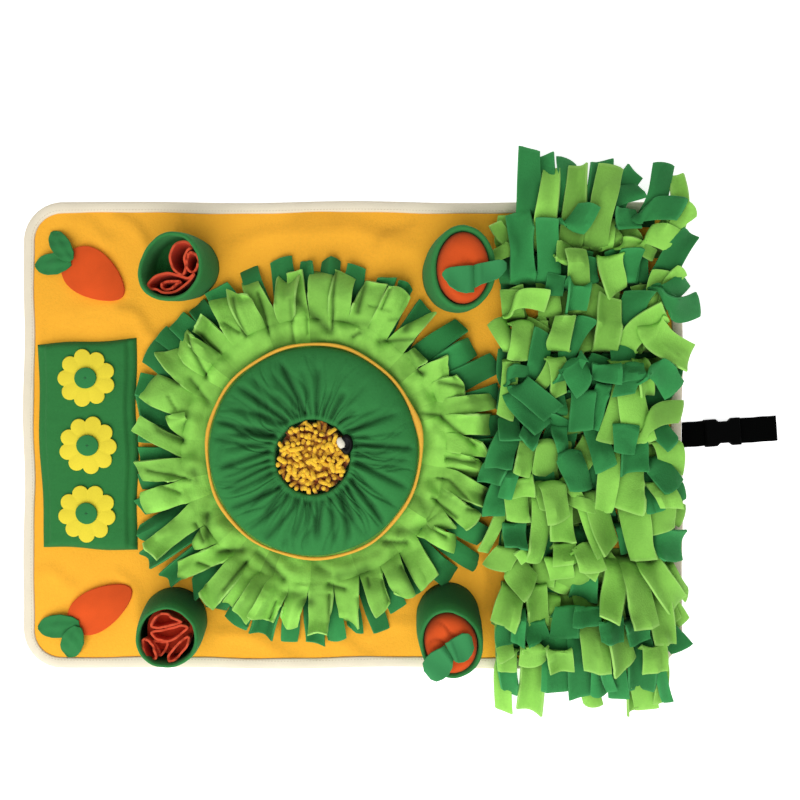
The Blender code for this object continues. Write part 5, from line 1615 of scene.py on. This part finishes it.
SHOWN_STRIPS = (  # colour; millimetres: x, y where the strip has bent over, x, y of its tip, its width
    # the hem rows, above and below
    ("dark", 201, 250, 202, 295, 22), ("dark", 183, 240, 185, 300, 25), ("dark", 225, 250, 229, 291, 26),
    ("dark", 258, 248, 262, 290, 25), ("dark", 276, 248, 297, 278, 24), ("dark", 318, 252, 328, 286, 22),
    ("dark", 270, 243, 303, 256, 19), ("light", 158, -240, 160, -291, 19),
    ("light", 189, -238, 188, -292, 25), ("light", 248, -246, 253, -285, 20),
    ("light", 291, -250, 293, -291, 19), ("light", 308, -248, 312, -290, 25),
    ("light", 322, -235, 323, -280, 16),
    # the upper rows, inwards
    ("light", 158, 200, 149, 222, 16), ("light", 162, 194, 148, 189, 14), ("light", 204, 230, 210, 280, 23),
    ("light", 226, 232, 238, 283, 26), ("light", 257, 228, 270, 281, 26), ("light", 340, 228, 342, 275, 19),
    ("light", 333, 222, 352, 234, 16), ("light", 285, 203, 318, 190, 14), ("dark", 285, 212, 284, 236, 25),
    ("dark", 308, 246, 340, 234, 25), ("dark", 330, 190, 353, 211, 26), ("light", 308, 216, 336, 199, 26),
    ("dark", 230, 205, 244, 238, 28), ("dark", 202, 180, 201, 224, 24), ("dark", 179, 180, 173, 234, 26),
    ("dark", 285, 172, 291, 194, 25), ("dark", 248, 165, 246, 187, 22), ("light", 220, 172, 223, 200, 23),
    ("light", 232, 160, 230, 193, 22), ("dark", 214, 144, 212, 168, 19), ("dark", 232, 156, 229, 130, 25),
    ("light", 312, 152, 321, 172, 17), ("light", 325, 160, 341, 172, 16), ("dark", 322, 142, 345, 163, 21),
    ("dark", 322, 118, 364, 138, 27), ("dark", 284, 115, 299, 150, 26), ("light", 292, 105, 323, 128, 24),
    ("light", 160, 95, 152, 122, 20), ("light", 172, 120, 171, 78, 24), ("dark", 226, 102, 246, 123, 20),
    ("light", 264, 105, 268, 146, 25), ("light", 272, 175, 277, 149, 26), ("light", 168, 149, 204, 140, 22),
    ("dark", 196, 80, 199, 109, 22), ("light", 218, 98, 223, 125, 24), ("light", 322, 80, 344, 70, 23),
    ("light", 316, 100, 351, 80, 34), ("light", 322, -70, 347, -84, 24), ("dark", 326, -62, 348, -57, 18),
    # the lower rows, inwards
    ("dark", 316, -245, 330, -278, 12), ("dark", 166, -238, 164, -269, 24),
    ("dark", 212, -235, 212, -266, 30), ("dark", 236, -238, 241, -273, 27),
    ("dark", 255, -242, 256, -270, 18), ("dark", 272, -240, 279, -274, 21),
    ("dark", 262, -240, 270, -264, 11), ("dark", 298, -232, 300, -264, 27),
    ("light", 160, -222, 161, -243, 20), ("light", 187, -212, 187, -236, 27),
    ("light", 216, -215, 216, -241, 26), ("light", 244, -200, 252, -240, 25),
    ("light", 268, -203, 282, -238, 27), ("light", 308, -212, 313, -242, 26),
    ("light", 156, -205, 160, -227, 22), ("light", 322, -172, 326, -216, 25),
    ("dark", 155, -192, 160, -214, 23), ("dark", 192, -194, 193, -212, 25),
    ("dark", 174, -165, 170, -212, 14), ("dark", 216, -162, 218, -208, 26),
    ("dark", 240, -166, 240, -193, 27), ("dark", 265, -184, 266, -208, 27),
    ("dark", 293, -190, 297, -212, 27), ("dark", 241, -146, 241, -172, 26),
    ("light", 160, -160, 157, -195, 26), ("light", 192, -158, 193, -198, 23),
    ("light", 334, -148, 352, -168, 14), ("light", 272, -150, 264, -186, 26),
    ("light", 294, -153, 302, -196, 27), ("light", 312, -144, 339, -177, 27),
    ("light", 228, -133, 228, -158, 32), ("light", 243, -118, 243, -143, 25),
    ("light", 218, -127, 218, -147, 25), ("light", 165, -138, 186, -157, 30),
    ("light", 148, -100, 137, -122, 13), ("light", 158, -112, 150, -140, 27),
    ("dark", 316, -112, 347, -113, 32), ("light", 182, -112, 170, -125, 15),
    ("light", 215, -108, 218, -131, 22), ("dark", 168, -90, 170, -114, 25),
    ("light", 197, -92, 190, -131, 24), ("light", 218, -86, 218, -109, 26),
    ("light", 238, -105, 246, -136, 27), ("light", 314, -76, 320, -99, 31),
    ("light", 290, -84, 303, -129, 26), ("light", 238, -85, 258, -120, 18),
    ("light", 246, -82, 269, -116, 26), ("light", 230, -66, 250, -73, 13), ("dark", 145, -62, 147, -83, 25),
    ("dark", 303, -58, 311, -77, 19), ("light", 314, -46, 328, -73, 25), ("light", 174, -60, 173, -89, 24),
    ("light", 198, -52, 200, -76, 15), ("light", 220, -42, 237, -65, 17), ("light", 207, -48, 214, -87, 27),
    ("light", 176, -42, 177, -63, 26), ("light", 284, -40, 283, -77, 29), ("light", 268, -38, 260, -79, 21),
    # the middle
    ("dark", 316, -28, 332, -54, 27), ("light", 332, -6, 332, -37, 32), ("dark", 160, -36, 158, -64, 15),
    ("dark", 148, -28, 143, -49, 26), ("dark", 152, -12, 150, -33, 28), ("light", 182, -8, 175, -41, 21),
    ("light", 200, -6, 198, -41, 27), ("dark", 218, -6, 219, -28, 17), ("dark", 228, -18, 239, -56, 27),
    ("dark", 250, -2, 262, -34, 25), ("dark", 290, -13, 288, -37, 27), ("dark", 314, 14, 331, -9, 24),
    ("light", 272, 36, 262, -7, 17), ("light", 287, 33, 299, -7, 30), ("light", 306, 28, 346, 25, 25),
    ("dark", 283, 4, 281, -18, 26), ("dark", 162, 18, 164, -4, 23), ("dark", 188, 16, 178, -7, 21),
    ("light", 165, 42, 160, 18, 17), ("dark", 262, 52, 250, 8, 15), ("dark", 165, 42, 199, 8, 23),
    ("light", 208, 68, 193, 50, 15), ("light", 208, 66, 215, 41, 19), ("dark", 160, 69, 186, 66, 14),
    ("dark", 178, 52, 210, 23, 26), ("dark", 236, 48, 238, 5, 26), ("light", 300, 58, 307, 42, 17),
    ("dark", 281, 70, 278, 42, 21), ("dark", 284, 86, 285, 57, 25), ("dark", 304, 82, 337, 47, 28),
    ("dark", 261, 86, 263, 55, 25), ("dark", 222, 90, 243, 53, 31),
)


def band_behind(colour, place, ahead):
    """The band of a colour that a strip most likely comes from."""
    numbers = [number for number, band in enumerate(BANDS, 1) if band[2] == colour]
    return min(numbers, key=lambda number: abs(BANDS[number - 1][0] - place.y + 0.014 * ahead.y))


def lay_strip(root, bent, tip, width, lift, lean, cup, bow):
    """Points down a strip that stands up from its root, twists to its way, bends over and runs to its tip."""
    share = np.linspace(0, 1, STRIP_ROWS)[:, None]
    way = (tip - bent).normalized()
    over = bent - way * min(0.008, (tip - bent).length * 0.4)
    middle = curve(
        share, (*root, STRIP_LOW), (*root.lerp(over, 0.2), STRIP_LOW + lift * 1.3),
        (*over, STRIP_LOW + lift * 1.15), (*tip, STRIP_LOW + lift * 0.7),
    )
    ahead = unit(np.gradient(middle, axis=0))
    last = math.atan2(way.y, way.x) - math.pi / 2
    first = math.pi * round(last / math.pi)
    twist = np.clip(share[:, 0] / 0.42, 0, 1)
    facing = first + (last - first) * twist ** 2 * (3 - 2 * twist)
    side = np.stack((np.cos(facing), np.sin(facing), np.zeros_like(facing)), 1)
    above = unit(np.cross(side, ahead))
    turned = lean * share ** 1.5
    across = side * np.cos(turned) + above * np.sin(turned)
    crown = above * np.cos(turned) - side * np.sin(turned)
    reach = np.linspace(-1, 1, STRIP_COLUMNS)
    middle = middle + side * bow * np.sin(math.pi * share)
    points = widen(middle, across, crown, reach, width, cup * width * (reach ** 2 - 0.35), 2.2)
    points[..., 2] = np.maximum(points[..., 2], TABLE_CLEAR)
    return points


band_cloths = []
band_areas = []
for y, right, _ in BANDS:
    tape = np.zeros((2, 24, 3))
    tape[..., 0] = np.linspace(FIELD_LEFT, right, 24)[None]
    tape[0, :, 1] = y - BAND_TAPE / 2
    tape[1, :, 1] = y + BAND_TAPE / 2
    tape[..., 2] = STRIP_LOW
    band_cloths.append(cloth_mesh())
    add_strip(*band_cloths[-1], tape, 0.5)
    band_areas.append(BAND_TAPE * (right - FIELD_LEFT))


def sew_strip(number, bent, tip, width, lift, lean, cup, bow, arch, curl):
    """Lay a strip of a band over what is there already."""
    y, right, _ = BANDS[number - 1]
    x = clamp(bent.x - 0.004 * (tip - bent).normalized().x, FIELD_LEFT + width / 2, right - width / 2)
    root = Vector((x, y + math.copysign(BAND_TAPE / 2, bent.y - y)))
    points = lay_strip(root, bent, tip, width, lift, lean, cup, bow)
    points = trim_end(points, luck.gauss(0, 0.0022), luck.random())
    firm, length = how_free(points[:, STRIP_COLUMNS // 2])
    points = loosen(settle(points, firm), arch, curl, 0.0008, luck.random())
    remember(points)
    add_strip(*band_cloths[number - 1], points, luck.random())
    band_areas[number - 1] += length * width


luck = random.Random(17)
hidden = [(number, place) for number in range(1, len(BANDS) + 1) for place in range(HIDDEN_STRIPS)]
luck.shuffle(hidden)
for number, place in hidden:
    y, right, _ = BANDS[number - 1]
    facing = math.copysign(1, 0.5 + luck.random() * 0.85 - (number > 7) - 0.25 * (number == 8))
    x = FIELD_LEFT + (place + 0.5 + luck.uniform(-0.3, 0.3)) * (right - FIELD_LEFT) / HIDDEN_STRIPS
    heading = facing * (math.pi / 2 + luck.gauss(0, 0.35) - 1.0 * max(0.0, 1 - (right - x) / 0.025))
    ahead = Vector((math.cos(heading), math.sin(heading)))
    bent = Vector((x, y)) + ahead * luck.uniform(0.010, 0.018)
    tip = bent + ahead * luck.uniform(0.018, 0.030)
    bare = min((tip - Vector(spot)).length for spot in BARE_SPOTS) <= 0.013
    if not bare and abs(tip.y) < 0.245 and tip.x < 0.350:
        sew_strip(
            number, bent, tip, STRIP_WIDTH, luck.uniform(0.010, 0.016), luck.gauss(0, 0.25),
            luck.gauss(0, 0.08), luck.gauss(0, 0.003), luck.uniform(0, 0.003), 0.0,
        )
luck = random.Random(4)
for colour, bent_x, bent_y, tip_x, tip_y, width in SHOWN_STRIPS:
    bent = Vector((bent_x, bent_y)) * MM
    tip = Vector((tip_x, tip_y)) * MM
    number = band_behind(colour, bent, (tip - bent).normalized())
    sew_strip(
        number, bent, tip, width * MM, luck.uniform(0.018, 0.030), luck.gauss(0, 0.34),
        luck.gauss(0, 0.18), luck.gauss(0, 0.003), luck.uniform(0.001, 0.010), luck.gauss(0, 0.0055),
    )
bands = []
for number, ((bm, _, _), area, (_, _, colour)) in enumerate(zip(band_cloths, band_areas, BANDS), 1):
    name = f"fringe_band_{number:02d}"
    finish = dark_strips if colour == "dark" else light_strips
    band = make_piece(f"{name}_cloth", bm, finish, [name])
    bands.append(band)
    thicken(band, FLEECE, 0.0, 0.0006)
    flat = (BAND_DEPTH, area / BAND_DEPTH * 1.06)
# Paint the shade of depth into the rings and bands, and of its folds into the light ring.
paint_deep_shade([dark_ring, light_ring, *bands], [light_ring])

# ---------------------------------------------------------------- closing strap
# A strap of black webbing is sewn under the mat's right edge, with a side-release buckle on it, and ends in a
# free tail.
STRAP_ANGLE = math.radians(4.2)
STRAP_WIDTH = 0.0270
WEBBING = 0.0016
STRAP_ROOT = 0.35195  # where the strap leaves the binding
STRAP_LENGTHS = {"strap_webbing": (0.0, 0.0255), "strap_end": (0.0595, 0.1020)}  # its ends lie in the buckle


def make_webbing():
    """Woven black webbing with ribs along it and a slight sheen."""
    finish = Finish("black_webbing", Roughness=0.90, Specular_IOR_Level=0.02)
    spot = finish.place()
    turned = finish.node(
        "ShaderNodeMapping", {"vector_type": "POINT"}, {"Vector": spot, "Rotation": (0, 0, -STRAP_ANGLE)}
    )
    ribs = finish.waves(turned, "Y", 190, 0.4)
    picks = finish.waves(turned, "X", 150, 0.6)
    dust = finish.noise(spot, 300, 3)
    finish.colour(finish.tint((0.0014, 0.0016, 0.0015), 0.4 + ribs * 0.5 + picks * 0.3 + dust * 0.4))
    return finish.grain(ribs * 0.6 + picks * 0.4, 0.0004, 0.7)


black_webbing = make_webbing()
for node, (start, end) in STRAP_LENGTHS.items():
    slant = math.tan(STRAP_ANGLE) if start == 0.0 else 0.0
    bm = bmesh.new()
    bmesh.ops.create_grid(bm, x_segments=40, y_segments=16, size=0.5)
    for vert in bm.verts:
        share, across = vert.co.x + 0.5, vert.co.y * STRAP_WIDTH
        along = start + share * (end - start) + slant * across * (1 - share)
        across += 0.00015 * math.sin(along * 310)
        bow = 0.00025 * (1 - (2 * vert.co.y) ** 2) + 0.00010 * math.sin(along * 240 + across * 90)
        vert.co = (
            STRAP_ROOT + along * math.cos(STRAP_ANGLE) - across * math.sin(STRAP_ANGLE),
            along * math.sin(STRAP_ANGLE) + across * math.cos(STRAP_ANGLE),
            WEBBING / 2 + 0.0001 + bow,
        )
    webbing = make_piece(f"{node}_cloth", bm, black_webbing, [node])
    thicken(webbing, WEBBING, 0.0, 0.0003)
    end - start
buckle_plastic = make_plastic("buckle_plastic", (0.0008, 0.0009, 0.0009), 0.60, 0.03)
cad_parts["buckle"].data.materials[0] = buckle_plastic.material
